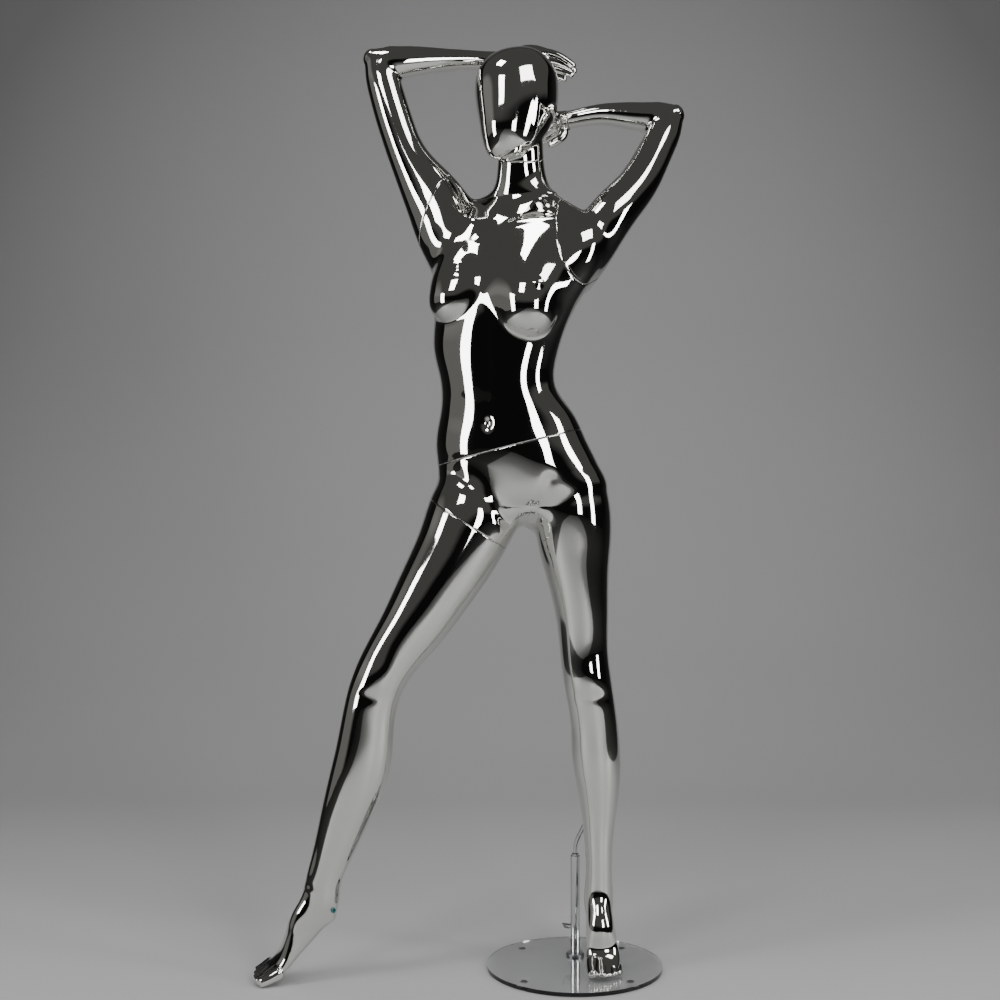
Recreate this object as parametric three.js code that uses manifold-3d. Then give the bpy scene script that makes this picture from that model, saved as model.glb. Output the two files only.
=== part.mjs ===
// Full body display mannequin, posed with both hands behind the head, on a round glass base.
// Millimetres, +Z up. The origin is on the floor under the middle of the glass disc, and the
// figure faces -Y.
import * as THREE from 'three';
import { mergeVertices } from 'three/addons/utils/BufferGeometryUtils.js';
import Module from 'manifold-3d';

// ---- driving dimensions ----
const figureHeight = 1833;      // glass to crown, with the left heel raised
const baseDiameter = 350;
const glassThickness = 8;
const bumperHeight = 2;
const bumperDiameter = 14;
const tubeDiameter = 19;
const tubeWall = 1.5;
const tubeLength = 197;
const flangeDiameter = 36;
const flangeThickness = 6;
const rodDiameter = 9;          // bent upper end that enters the calf
const shankLength = tubeLength - 37;   // part of the rod that slides in the tube
const screwHeight = 56;         // thumb screw above the glass
const seamGap = 0.6;            // between two shells at a split
const clearance = 0.3;          // between a fitting and its pocket
const waistPeg = { plate: 42, peg: 10, length: 46 };
const thighPeg = { plate: 30, peg: 9, length: 40 };
const shoulderPeg = { plate: 22, peg: 7, length: 20 };
const wristPeg = { plate: 11, peg: 4, length: 12 };

// Pelvis to shoulders: x, y, z, half width, half depth in front, behind, turn in degrees.
const torsoRows = [
  [-101, 10, 924, 109.1, 62, 66, 8], [-100, 10, 942, 146.4, 78, 88, 8],
  [-103, 12, 968, 167.8, 86, 98, 8], [-113, 12, 1000, 162.2, 91, 102, 8],
  [-123, 12, 1036, 156.8, 95, 100, 9], [-131, 12, 1073, 148, 97, 94, 11],
  [-136, 10, 1113, 134.6, 94, 84, 13], [-151, 6, 1150, 117.5, 90, 76, 15],
  [-157, 4, 1180, 115.3, 88, 74, 17], [-159, 2, 1220, 125.6, 86, 78, 20],
  [-155, 2, 1260, 135.9, 88, 86, 23], [-145, 2, 1300, 145.3, 92, 94, 26],
  [-134, 4, 1341, 160.9, 96, 98, 28], [-122, 8, 1381, 176.9, 93, 97, 29],
  [-119, 12, 1422, 190.4, 84, 92, 30], [-121, 16, 1459, 189.9, 72, 82, 30],
  [-122, 20, 1488, 174.2, 58, 68, 30], [-123, 24, 1511, 148.7, 45, 54, 30],
  [-127, 26, 1529, 121.4, 36, 44, 30], [-119, 27, 1543, 93.9, 28, 34, 30],
];
// Chin to crown, in the same columns.
const headRows = [
  [-146, -40, 1609, 14.5, 10, 12, 28], [-141, -34, 1616, 29.7, 30, 24, 28],
  [-132, -26, 1629, 45.8, 50, 40, 28], [-124, -16, 1648, 57.6, 70, 57, 28],
  [-119, -6, 1672, 65.7, 84, 74, 28], [-116, 0, 1698, 72, 90, 90, 28],
  [-115, 4, 1725, 77.9, 93, 97, 28], [-115, 7, 1752, 80.1, 95, 100, 28],
  [-115, 9, 1777, 80.1, 93, 96, 28], [-114, 10, 1797, 76, 86, 87, 28],
  [-114, 11, 1814, 65.8, 72, 74, 28], [-113, 12, 1829, 52.8, 52, 57, 28],
  [-112, 12, 1839, 33.8, 31, 35, 28], [-112, 12, 1843, 13.5, 10, 13, 28],
];
// Neck, and every limb below: x, y, z, half width from side to side, half depth from front to back.
const neckRows = [
  [-107, 26, 1477, 80.7, 44], [-105, 26, 1513, 66.6, 46], [-103, 25, 1537, 57.5, 48],
  [-104, 23, 1561, 52.8, 49], [-106, 20, 1584, 49.9, 49], [-107, 16, 1608, 47.1, 49],
  [-107, 12, 1631, 45.4, 49], [-107, 8, 1658, 44.1, 48],
];
// Hip, knee, calf, ankle and heel of the standing leg.
const leftLegRows = [
  [-22, 12, 988, 62.3, 62], [-12, 12, 956, 75.3, 80], [-5, 12, 924, 77.9, 88], [-2, 12, 896, 77.5, 87],
  [1, 12, 846, 73.9, 81], [7, 10, 785, 63.1, 73], [14, 8, 725, 55.1, 65], [17.9, 6, 665.2, 49.9, 57],
  [20.7, 3, 615.6, 48, 51.9], [26.6, 1, 571.9, 48, 50.9], [34.4, 3, 527.4, 46.7, 49.8],
  [40.2, 8, 486.9, 47.1, 51.8], [43.1, 12, 438.4, 48.9, 54.7], [45.9, 13, 398, 47.2, 54.7],
  [48.8, 12, 353.6, 41.6, 49.7], [49.5, 9, 309.8, 35.2, 42.7], [48.2, 5, 265.3, 29.4, 36.7],
  [48.8, 0, 220, 26.1, 32.6], [48.5, -6, 176, 26.7, 31.5], [48, -5, 150, 27.5, 34],
  [48, 0, 128, 27.2, 35.5], [48, 5, 110, 25.5, 31], [48, 7, 99, 16.5, 21],
];
// Instep to ball, rising heel: x, y, z, half thickness, half width.
const leftFootRows = [
  [48, 0, 148, 30, 24], [48, -19, 121, 31, 25.5], [49, -36, 98, 29, 27.5], [50, -43, 76, 25, 29.5],
  [51.5, -47, 57, 20, 32], [53, -56, 42, 16, 33.5], [53, -68, 32, 13, 33], [53, -78, 26, 11, 29],
];
// The stretched leg, hip to heel.
const rightLegRows = [
  [-165, 8, 996, 66.2, 62], [-189, 6, 938, 90.1, 83.9], [-208.9, 0, 894.1, 91, 87.9],
  [-227.8, -8, 850.2, 85.8, 84.8], [-256.4, -19, 796.7, 79.5, 79.6], [-285.9, -30, 746.5, 73.2, 73.4],
  [-320.1, -43, 689.7, 65, 64.3], [-356.2, -54, 638, 56.1, 54.3], [-382.4, -62, 593.2, 52, 49.2],
  [-397.9, -66, 551.3, 50.8, 46.2], [-405.7, -67, 514, 51.1, 45.2], [-410.6, -67, 474.7, 53.9, 46.2],
  [-416.6, -67, 432.2, 56.3, 47.2], [-426.6, -68, 390.7, 56.4, 45.3], [-438.6, -69, 355.9, 52.7, 41.4],
  [-453.8, -70, 311.7, 47.2, 36.5], [-468, -72, 269.3, 41.4, 31.6], [-480.3, -74, 234.7, 36.8, 27.7],
  [-491.7, -75, 202.1, 34.1, 25.8], [-497.3, -75, 172, 35.8, 26.8], [-496.6, -75, 151.3, 35.9, 27.3],
  [-494, -74, 135.6, 31.9, 24.9], [-489.3, -73, 122.1, 21.4, 15.9],
];
// Its pointed foot.
const rightFootRows = [
  [-502, -76, 166, 32, 24], [-514, -76, 134, 36, 24], [-530, -76, 106, 33, 25],
  [-545, -77, 81, 25.5, 27], [-558, -78, 60, 19, 29.5], [-570, -79, 43, 15, 31.5],
  [-581, -81, 32.5, 13, 31.5], [-590, -82, 27, 11.4, 28],
];
// Raised right arm, chest to elbow.
const rightArmRows = [
  [-210, 34, 1389, 48.6, 40], [-230, 42, 1431, 62.9, 52], [-250, 50, 1473, 67.1, 56],
  [-268, 57, 1521, 66.3, 52], [-293, 62, 1565, 58.4, 46], [-321, 66, 1609, 46.2, 42],
  [-344, 69, 1653, 38.5, 39.5], [-360, 71, 1698, 37.3, 38], [-375, 73, 1746, 36.7, 37],
  [-387, 75, 1790, 35.5, 35.5], [-396, 76, 1823, 32.8, 32], [-403, 76, 1839, 24.6, 23],
];
// Right forearm, elbow to wrist, passing behind the crown.
const rightForearmRows = [
  [-415, 76, 1846, 15.4, 19], [-394, 77, 1835, 31.6, 31], [-365, 80, 1833, 34.5, 35],
  [-334, 84, 1837, 32.1, 33.5], [-293, 89, 1841, 27.2, 30], [-252, 95, 1844, 22.7, 27],
  [-211, 101, 1846, 20.1, 25], [-170, 107, 1846, 19.1, 25], [-145, 110, 1847, 19.1, 25],
];
// Raised left arm, chest to elbow.
const leftArmRows = [
  [-2, -10, 1382, 39.9, 36], [18, -18, 1417, 48.7, 48], [41, -24, 1456, 49.6, 52],
  [67, -22, 1494, 47.6, 50], [94, -10, 1528, 44.6, 45], [122, 6, 1561, 40.9, 41],
  [143, 22, 1596, 38.7, 39], [160, 38, 1630, 36.5, 37.5], [177, 52, 1665, 35, 36],
  [192, 64, 1699, 33.1, 33], [202, 70, 1722, 25.6, 23],
];
// Left forearm, elbow to wrist, behind the jaw.
const leftForearmRows = [
  [214, 70, 1730, 15.4, 19], [195, 72, 1722, 29.1, 31], [165, 76, 1720, 31.6, 35],
  [133, 82, 1724, 29.4, 33.5], [98, 88, 1729, 25.8, 30], [64, 94, 1732, 21.9, 27],
  [33, 101, 1730, 20.1, 25], [5, 108, 1726, 18.7, 24.5], [-16, 112, 1723, 18.3, 24.5],
];

// ---- sizes that follow from the above ----
const drawnHeight = 1833;
const drawnFloor = 10;          // height of the glass top in the tables
const grow = figureHeight / drawnHeight;
const glassTop = bumperHeight + glassThickness;
const foot = { x: 52, y: 0 };   // the figure grows about this point under the left foot
const hipHeight = 960;
const legStretch = (glassTop + grow * (hipHeight - drawnFloor)) / hipHeight;

const wasm = await Module();
wasm.setup();

// Turns a closed three.js geometry into a solid with its faces pointing out.
function solid(geometry) {
  const bare = geometry.clone();
  for (const name of Object.keys(bare.attributes)) if (name !== 'position') bare.deleteAttribute(name);
  const merged = mergeVertices(bare, 1e-4);
  const at = merged.attributes.position.array;
  const index = Array.from(merged.index.array);
  const tris = [];
  let volume = 0;
  for (let i = 0; i < index.length; i += 3) {
    const [a, b, c] = [index[i], index[i + 1], index[i + 2]];
    if (a === b || b === c || c === a) continue;
    tris.push(a, b, c);
    const [p, q, r] = [a, b, c].map((k) => new THREE.Vector3().fromArray(at, 3 * k));
    volume += p.dot(q.cross(r));
  }
  if (volume < 0) tris.reverse();
  return new wasm.Manifold(new wasm.Mesh({
    numProp: 3,
    vertProperties: new Float32Array(at),
    triVerts: new Uint32Array(tris),
  }));
}

function geometryOf(body) {
  const mesh = body.getMesh();
  const geometry = new THREE.BufferGeometry();
  geometry.setAttribute('position', new THREE.BufferAttribute(new Float32Array(mesh.vertProperties), 3));
  geometry.setIndex(new THREE.BufferAttribute(new Uint32Array(mesh.triVerts), 1));
  geometry.computeVertexNormals();
  return geometry;
}

const sum = (bodies) => bodies.reduce((a, b) => a.add(b));

// A point of the drawn figure, at the figure's real size.
const place = ([x, y, z]) => new THREE.Vector3(
  foot.x + grow * (x - foot.x), foot.y + grow * (y - foot.y), glassTop + grow * (z - drawnFloor));
// The stretched leg keeps its toes on the floor beside the glass.
const placeLeg = ([x, y, z]) => {
  const p = place([x, y, z]);
  p.z = z * legStretch;
  return p;
};

// Smooth curve through any number of columns, sampled evenly from row to row.
function sample(rows, count) {
  const columns = [];
  for (let c = 0; c < rows[0].length; c += 3) {
    const points = rows.map((r) => new THREE.Vector3(r[c], r[c + 1] ?? 0, r[c + 2] ?? 0));
    columns.push(new THREE.CatmullRomCurve3(points, false, 'catmullrom', 0.5));
  }
  const out = [];
  for (let i = 0; i < count; i++) {
    out.push(columns.flatMap((curve) => curve.getPoint(i / (count - 1)).toArray()).slice(0, rows[0].length));
  }
  return out;
}

// Joins rings of points with triangles and closes both ends with a point.
function skin(rings, first, last) {
  const around = rings[0].length;
  const points = [...rings.flat(), first, last];
  const index = [];
  for (let i = 0; i + 1 < rings.length; i++) {
    for (let j = 0; j < around; j++) {
      const k = (j + 1) % around;
      const [a, b, c, d] = [i * around + j, i * around + k, (i + 1) * around + j, (i + 1) * around + k];
      index.push(a, b, d, a, d, c);
    }
  }
  const end = rings.length * around;
  for (let j = 0; j < around; j++) {
    const k = (j + 1) % around;
    index.push(end, k, j, end + 1, end - around + j, end - around + k);
  }
  const geometry = new THREE.BufferGeometry();
  geometry.setAttribute('position', new THREE.Float32BufferAttribute(points.flatMap((p) => p.toArray()), 3));
  geometry.setIndex(index);
  return solid(geometry);
}

// Level sections, for the trunk and the head: rows are x, y, z, width, front, back, turn.
function trunk(rows, around, count) {
  const rings = sample(rows, count).map(([x, y, z, width, front, back, turn]) => {
    const angle = THREE.MathUtils.degToRad(turn);
    const side = new THREE.Vector3(Math.cos(angle), -Math.sin(angle), 0);
    const ahead = new THREE.Vector3(-Math.sin(angle), -Math.cos(angle), 0);
    const centre = place([x, y, z]);
    return Array.from({ length: around }, (_, j) => {
      const t = (2 * Math.PI * j) / around;
      const depth = Math.sin(t) > 0 ? front : back;
      return centre.clone().addScaledVector(side, grow * width * Math.cos(t))
        .addScaledVector(ahead, grow * depth * Math.sin(t));
    });
  });
  const ends = [rows[0], rows.at(-1)].map((r) => place(r));
  ends[0].z -= 2 * grow;
  ends[1].z += 2 * grow;
  return skin(rings, ends[0], ends[1]);
}

// Sections square to a curved centre line: rows are x, y, z, half size across `face`, half
// size along `face`.
function limb(rows, around, count, face = [0, -1, 0], at = place) {
  const stops = sample(rows, count);
  const centres = stops.map((r) => at(r));
  const rings = stops.map((r, i) => {
    const along = centres[Math.min(i + 1, count - 1)].clone().sub(centres[Math.max(i - 1, 0)]).normalize();
    const ahead = new THREE.Vector3(...face);
    ahead.addScaledVector(along, -ahead.dot(along)).normalize();
    const side = new THREE.Vector3().crossVectors(along, ahead);
    return Array.from({ length: around }, (_, j) => {
      const t = (2 * Math.PI * j) / around;
      return centres[i].clone().addScaledVector(side, grow * r[3] * Math.cos(t))
        .addScaledVector(ahead, grow * r[4] * Math.sin(t));
    });
  });
  const cap = (i, k) => centres[i].clone().add(
    centres[i].clone().sub(centres[k]).setLength(0.45 * grow * Math.min(stops[i][3], stops[i][4])));
  return skin(rings, cap(0, 1), cap(count - 1, count - 2));
}

// A finger or toe: points along it with a radius at each.
function digit(points, at = place) {
  const [first, last] = [points[0], points.at(-1)];
  const toward = (p, q, reach) => {
    const d = Math.hypot(q[0] - p[0], q[1] - p[1], q[2] - p[2]);
    return [0, 1, 2].map((i) => p[i] + ((q[i] - p[i]) * reach) / d);
  };
  const rows = [
    [...toward(first, points[1], -0.8 * first[3]), 0.55 * first[3], 0.55 * first[3]],
    ...points.map(([x, y, z, r]) => [x, y, z, r, r]),
    [...toward(last, points.at(-2), -0.75 * last[3]), 0.62 * last[3], 0.62 * last[3]],
  ];
  return limb(rows, 7, rows.length, [0.17, -0.94, 0.3], at);
}

function ellipsoid([x, y, z], [a, b, c], around = 16) {
  const ball = new THREE.SphereGeometry(1, around, around / 2);
  ball.rotateX(Math.PI / 2);
  ball.scale(grow * a, grow * b, grow * c);
  const centre = place([x, y, z]);
  ball.translate(centre.x, centre.y, centre.z);
  return solid(ball);
}

// Turns something built along +Z so that it stands at `centre` and points along `axis`.
function stand(geometry, centre, axis) {
  const up = new THREE.Vector3(0, 0, 1);
  const turn = new THREE.Quaternion().setFromUnitVectors(up, axis.clone().normalize());
  return geometry.applyQuaternion(turn).translate(centre.x, centre.y, centre.z);
}

function lathe(profile, around = 16) {
  const points = profile.map(([r, z]) => new THREE.Vector2(r, z));
  return new THREE.LatheGeometry(points, around).rotateX(Math.PI / 2);
}

const rodBetween = (r, from, to, around = 16) =>
  lathe([[0, from], [r, from], [r, to], [0, to]], around);

// Everything on the `axis` side of a plane through `centre`, `lift` beyond it.
function side(centre, axis, lift) {
  const big = 2600 * Math.max(1, grow);
  const box = new THREE.BoxGeometry(big, big, big).translate(0, 0, big / 2 + lift);
  return solid(stand(box, centre, axis));
}

// Split of two shells: a plug that stays with the near shell and a socket in the far one.
function split(centre, axis, { plate, peg, length }) {
  const face = seamGap / 2;
  const fit = (profile) => solid(stand(lathe(profile), centre, axis));
  return {
    plug: fit([[0, -face - 4], [plate, -face - 4], [plate, -face], [peg, -face],
      [peg, length - 2], [peg - 2, length], [0, length]]),
    plugPocket: fit([[0, -face - 4 - clearance], [plate + clearance, -face - 4 - clearance],
      [plate + clearance, 3], [0, 3]]),
    socket: fit([[0, length + 1], [peg + clearance, length + 1], [peg + clearance, face], [plate, face],
      [plate, face + 4], [peg + 4, face + 4], [peg + 4, length + 5], [0, length + 5]]),
    socketPocket: fit([[0, -3], [plate + clearance, -3], [plate + clearance, face + 4 + clearance],
      [peg + 4 + clearance, face + 4 + clearance], [peg + 4 + clearance, length + 5 + clearance],
      [0, length + 5 + clearance]]),
    near: side(centre, axis.clone().negate(), face),
    far: side(centre, axis, face),
  };
}

// ---- where the shells split ----
const waist = split(place([-133, 8, 1040]), new THREE.Vector3(-0.245, 0, 0.97), waistPeg);
const thigh = split(placeLeg([-213, 3, 889]), new THREE.Vector3(-0.543, 0, -0.84), thighPeg);
const leftShoulder = split(place([10, -26, 1456]), new THREE.Vector3(0.7635, -0.56, 0.3217), shoulderPeg);
const rightShoulder = split(place([-284, 56, 1502]), new THREE.Vector3(-0.85, 0.38, 0.36), shoulderPeg);
const leftWrist = split(place([-7, 110.5, 1724.5]), new THREE.Vector3(-0.975, 0.19, -0.12), wristPeg);
const rightWrist = split(place([-156, 108.6, 1846.5]), new THREE.Vector3(0.99, 0.12, 0.01), wristPeg);
const neck = {
  near: side(place([-107, 14, 1622]), new THREE.Vector3(0, 0.35, -0.937), seamGap / 2),
  far: side(place([-107, 14, 1622]), new THREE.Vector3(0, -0.35, 0.937), seamGap / 2),
};

// ---- body shapes ----
const trunkBody = sum([
  trunk(torsoRows, 28, 25),
  ellipsoid([-234, -15, 1340], [57, 54, 54]),
  ellipsoid([-95, -82, 1319], [60, 55, 60]),
  ellipsoid([-163, 60, 956], [76, 58, 80]),
  ellipsoid([-45, 58, 948], [76, 58, 80]),
]);
const neckBody = limb(neckRows, 18, 7);
const leftArm = limb(leftArmRows, 16, 13);
const rightArm = limb(rightArmRows, 16, 13);
const leftForearm = limb(leftForearmRows, 14, 10);
const rightForearm = limb(rightForearmRows, 14, 10);
const leftLeg = limb(leftLegRows, 18, 26);
const leftFoot = limb(leftFootRows, 14, 8, [1, 0, 0]);
const rightLeg = limb(rightLegRows, 18, 24, [0, -1, 0], placeLeg);
const rightFoot = limb(rightFootRows, 14, 9, [0.2, -0.94, -0.28], placeLeg);

const leftToes = sum([
  digit([[31, -74, 36, 13.5], [30, -94, 26, 12], [31, -108, 20.7, 10.5]]),
  digit([[49, -74, 35, 9.5], [50, -93, 25, 7.8], [50.5, -106, 17.5, 7]]),
  digit([[60, -72, 34, 9], [62, -89, 24, 7.4], [62.5, -101, 17, 6.6]]),
  digit([[71, -67, 33, 8.6], [73, -82, 23, 7], [74, -93, 16.6, 6.2]]),
  digit([[80, -59, 31, 8.2], [83, -71, 21, 6.6], [84, -81, 16, 5.8]]),
]);
const rightToes = sum([
  digit([[-576, -104, 24, 13.5], [-594, -112, 15.5, 11.6], [-607, -118, 11.2, 10.4]], placeLeg),
  digit([[-586, -92, 27, 10], [-606, -102, 16, 8.4], [-618, -108, 9.6, 7.6]], placeLeg),
  digit([[-592, -81, 29, 9.5], [-611, -90, 17.5, 8], [-623, -96, 10.6, 7.2]], placeLeg),
  digit([[-596, -70, 31, 9], [-614, -78, 20, 7.6], [-625, -82, 13.6, 6.8]], placeLeg),
  digit([[-599, -59, 33, 8.6], [-614, -65, 24, 7.2], [-624, -68, 18.6, 6.4]], placeLeg),
]);

const rightHand = sum([
  limb([[-170, 107, 1846, 19, 22], [-150, 109, 1847, 19.4, 21], [-128, 111, 1849, 24, 16],
    [-104, 113, 1850, 30, 14], [-80, 115, 1850, 33, 13], [-60, 117, 1848, 30, 11]], 14, 7),
  digit([[-70, 115, 1868, 9.6], [-34, 116, 1862, 8.6], [-8, 117, 1848, 7.8], [2, 117, 1840, 7]]),
  digit([[-72, 117, 1853, 9.6], [-32, 120, 1848, 8.8], [-6, 121, 1837, 8], [6, 121, 1829, 7]]),
  digit([[-74, 118, 1838, 9.2], [-36, 122, 1833, 8.4], [-12, 123, 1826, 7.6], [-1, 122, 1821, 6.8]]),
  digit([[-76, 117, 1825, 8.4], [-44, 121, 1820, 7.4], [-24, 121, 1815, 6.8], [-15, 120, 1812, 6.2]]),
  digit([[-126, 112, 1832, 10], [-104, 116, 1812, 9.2], [-84, 118, 1799, 8.4], [-72, 118, 1792, 7.4]]),
]);
const leftHand = sum([
  limb([[18, 105, 1728, 19, 22], [-4, 110, 1725, 19, 21], [-24, 115, 1722, 23, 16],
    [-48, 121, 1715, 29, 14], [-70, 124, 1707, 32, 13], [-90, 124, 1700, 30, 11]], 14, 7),
  digit([[-80, 123, 1722, 9.4], [-114, 121, 1716, 8.4], [-138, 117, 1709, 7.6], [-150, 112, 1705, 6.8]]),
  digit([[-84, 124, 1707, 9.4], [-120, 122, 1699, 8.6], [-145, 117, 1691, 7.8], [-158, 111, 1687, 6.8]]),
  digit([[-86, 124, 1692, 9], [-118, 121, 1682, 8.2], [-141, 116, 1673, 7.4], [-152, 110, 1669, 6.6]]),
  digit([[-84, 122, 1679, 8.2], [-110, 118, 1669, 7.2], [-128, 113, 1661, 6.6], [-137, 109, 1657, 6]]),
  digit([[-24, 113, 1712, 11], [-18, 105, 1694, 10], [-32, 99, 1679, 9], [-48, 96, 1670, 7.6]]),
]);

// ---- support ----
const tubeAt = place([4, 51, drawnFloor]);
const tubeTop = glassTop + flangeThickness + tubeLength;
const tubeRadius = tubeDiameter / 2;
const boreRadius = tubeRadius - tubeWall;
const shankRadius = boreRadius - clearance;
const entry = place([26, 34, 286]);            // where the rod goes into the calf
const bendAt = new THREE.Vector3(tubeAt.x, tubeAt.y, tubeTop + 24);
const rodAxis = entry.clone().sub(bendAt).normalize();
const insertion = 60;
const socketLength = 40;
const rodTip = entry.clone().addScaledVector(rodAxis, insertion);
const socketFoot = rodTip.clone().addScaledVector(rodAxis, 4 - socketLength);

const base = new THREE.CylinderGeometry(baseDiameter / 2, baseDiameter / 2, glassThickness, 72)
  .rotateX(Math.PI / 2).translate(0, 0, bumperHeight + glassThickness / 2);
const at = (geometry, x, y, z) => geometry.translate(x, y, z);
const boltRadius = 4;
const bolt = at(lathe([[0, -glassThickness - 1.7], [8, -glassThickness - 1.7], [8, -glassThickness - 0.3],
  [boltRadius, -glassThickness - 0.3], [boltRadius, flangeThickness + 6], [0, flangeThickness + 6]]),
tubeAt.x, tubeAt.y, glassTop);
const boltHole = at(rodBetween(boltRadius + clearance, -40, 40), tubeAt.x, tubeAt.y, glassTop);
const flangeFoot = clearance;
const flange = at(lathe([[boltRadius + clearance, flangeFoot], [flangeDiameter / 2, flangeFoot],
  [flangeDiameter / 2, flangeThickness - 1.5], [flangeDiameter / 2 - 1.5, flangeThickness],
  [boreRadius - clearance, flangeThickness], [boreRadius - clearance, flangeThickness + 18],
  [boltRadius + clearance + 0.4, flangeThickness + 18], [boltRadius + clearance, flangeThickness + 17.6],
  [boltRadius + clearance, flangeFoot]], 32), tubeAt.x, tubeAt.y, glassTop);
const tubeFoot = glassTop + flangeThickness + clearance;
const tube = at(lathe([[boreRadius, 0], [tubeRadius, 0], [tubeRadius, tubeTop - tubeFoot - 0.6],
  [tubeRadius - 0.6, tubeTop - tubeFoot], [boreRadius, tubeTop - tubeFoot], [boreRadius, 0]], 28),
tubeAt.x, tubeAt.y, tubeFoot);
const screwAt = new THREE.Vector3(tubeAt.x, tubeAt.y, glassTop + screwHeight);
const screwAxis = new THREE.Vector3(-0.8, 0.6, 0);
const screwHole = stand(rodBetween(3 + clearance, 0, 3 * tubeRadius), screwAt, screwAxis);
const screwStem = stand(lathe([[0, shankRadius + clearance], [3, shankRadius + clearance],
  [3, tubeRadius + 5], [5, tubeRadius + 6], [5, tubeRadius + 15], [4, tubeRadius + 17],
  [0, tubeRadius + 17]], 18), screwAt, screwAxis);
const screwWings = stand(new THREE.SphereGeometry(1, 20, 10).scale(2.4, 13, 6.5)
  .translate(0, 0, tubeRadius + 13), screwAt, screwAxis);

// The rod: a shank in the tube, a collar on its mouth, and a thin bent end up into the calf.
const shank = lathe([[0, -shankLength], [shankRadius, -shankLength], [shankRadius, clearance],
  [tubeRadius - 2, clearance], [tubeRadius - 2, 3], [tubeRadius - 4, 5], [0, 5]], 20)
  .translate(tubeAt.x, tubeAt.y, tubeTop);
const bendStart = new THREE.Vector3(tubeAt.x, tubeAt.y, tubeTop + 7);
const rodPath = new THREE.CurvePath();
rodPath.add(new THREE.LineCurve3(new THREE.Vector3(tubeAt.x, tubeAt.y, tubeTop + 2), bendStart));
rodPath.add(new THREE.QuadraticBezierCurve3(bendStart, bendAt, bendAt.clone().lerp(entry, 0.3)));
rodPath.add(new THREE.LineCurve3(bendAt.clone().lerp(entry, 0.3), rodTip));
const rodCircle = new THREE.Shape().absarc(0, 0, rodDiameter / 2, 0, 2 * Math.PI, false);
const bentRod = new THREE.ExtrudeGeometry(rodCircle,
  { steps: 14, curveSegments: 6, bevelEnabled: false, extrudePath: rodPath });
const boreInCalf = rodDiameter / 2 + clearance;
const calfSocket = stand(lathe([[0, socketLength - 3], [boreInCalf, socketLength - 3], [boreInCalf, 0],
  [boreInCalf + 4.5, 0], [boreInCalf + 4.5, socketLength], [0, socketLength]]), socketFoot, rodAxis);
const calfPocket = solid(stand(lathe([[0, -90], [boreInCalf + 1, -90], [boreInCalf + 1, -clearance],
  [boreInCalf + 4.5 + clearance, -clearance], [boreInCalf + 4.5 + clearance, socketLength + clearance],
  [0, socketLength + clearance]]), socketFoot, rodAxis));

// A blind bush in the heel of the stretched leg, for an ankle stand.
const heelAt = placeLeg([-470.5, -92, 141]);
const heelAxis = new THREE.Vector3(-0.7, 0.714, 0);
const heelBush = stand(lathe([[0, 13], [2.8, 13], [2.8, 0], [5, 0], [5, 16], [0, 16]]), heelAt, heelAxis);
const heelPocket = solid(stand(rodBetween(5 + clearance, -12, 16 + clearance), heelAt, heelAxis));

// ---- shells ----
const rightLegWhole = sum([rightLeg, rightFoot, rightToes]);
const lowerBody = sum([
  trunkBody.add(rightLeg).intersect(waist.near).intersect(thigh.near), leftLeg, leftFoot, leftToes,
]).subtract(waist.plugPocket).subtract(thigh.plugPocket).subtract(calfPocket);
const rightLegShell = rightLegWhole.intersect(thigh.far).subtract(thigh.socketPocket).subtract(heelPocket);
const chest = trunkBody.intersect(waist.far).intersect(leftShoulder.near).intersect(rightShoulder.near);
const torso = sum([
  chest, leftArm.intersect(leftShoulder.near), rightArm.intersect(rightShoulder.near),
  neckBody.intersect(neck.near),
]).subtract(waist.socketPocket).subtract(leftShoulder.plugPocket).subtract(rightShoulder.plugPocket);
const armShell = (upper, lower, shoulder, wrist) => upper.add(trunkBody).intersect(shoulder.far)
  .add(lower.intersect(wrist.near)).subtract(shoulder.socketPocket).subtract(wrist.plugPocket);
const leftArmShell = armShell(leftArm, leftForearm, leftShoulder, leftWrist);
const rightArmShell = armShell(rightArm, rightForearm, rightShoulder, rightWrist);
const leftHandShell = leftHand.intersect(leftWrist.far).subtract(leftWrist.socketPocket);
const rightHandShell = rightHand.intersect(rightWrist.far).subtract(rightWrist.socketPocket);
const head = trunk(headRows, 24, 17).add(neckBody).intersect(neck.far);

// ---- scene ----
const group = new THREE.Group();
const chrome = () => new THREE.MeshStandardMaterial({ color: 0x5c5e62, roughness: 0.04, metalness: 1 });
const steel = () => new THREE.MeshStandardMaterial({ color: 0xb9bcc0, roughness: 0.28, metalness: 1 });
const zinc = () => new THREE.MeshStandardMaterial({ color: 0x8d9197, roughness: 0.4, metalness: 1 });
const glass = () => new THREE.MeshStandardMaterial({ color: 0xcfe8dc, roughness: 0.05, metalness: 0 });
const clear = () => new THREE.MeshStandardMaterial({ color: 0xdfe3e4, roughness: 0.3, metalness: 0 });
const teal = () => new THREE.MeshStandardMaterial({ color: 0x2f6f72, roughness: 0.5, metalness: 0 });

function add(name, shape, material) {
  const mesh = new THREE.Mesh(shape.isBufferGeometry ? shape : geometryOf(shape), material);
  mesh.name = name;
  group.add(mesh);
}

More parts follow.
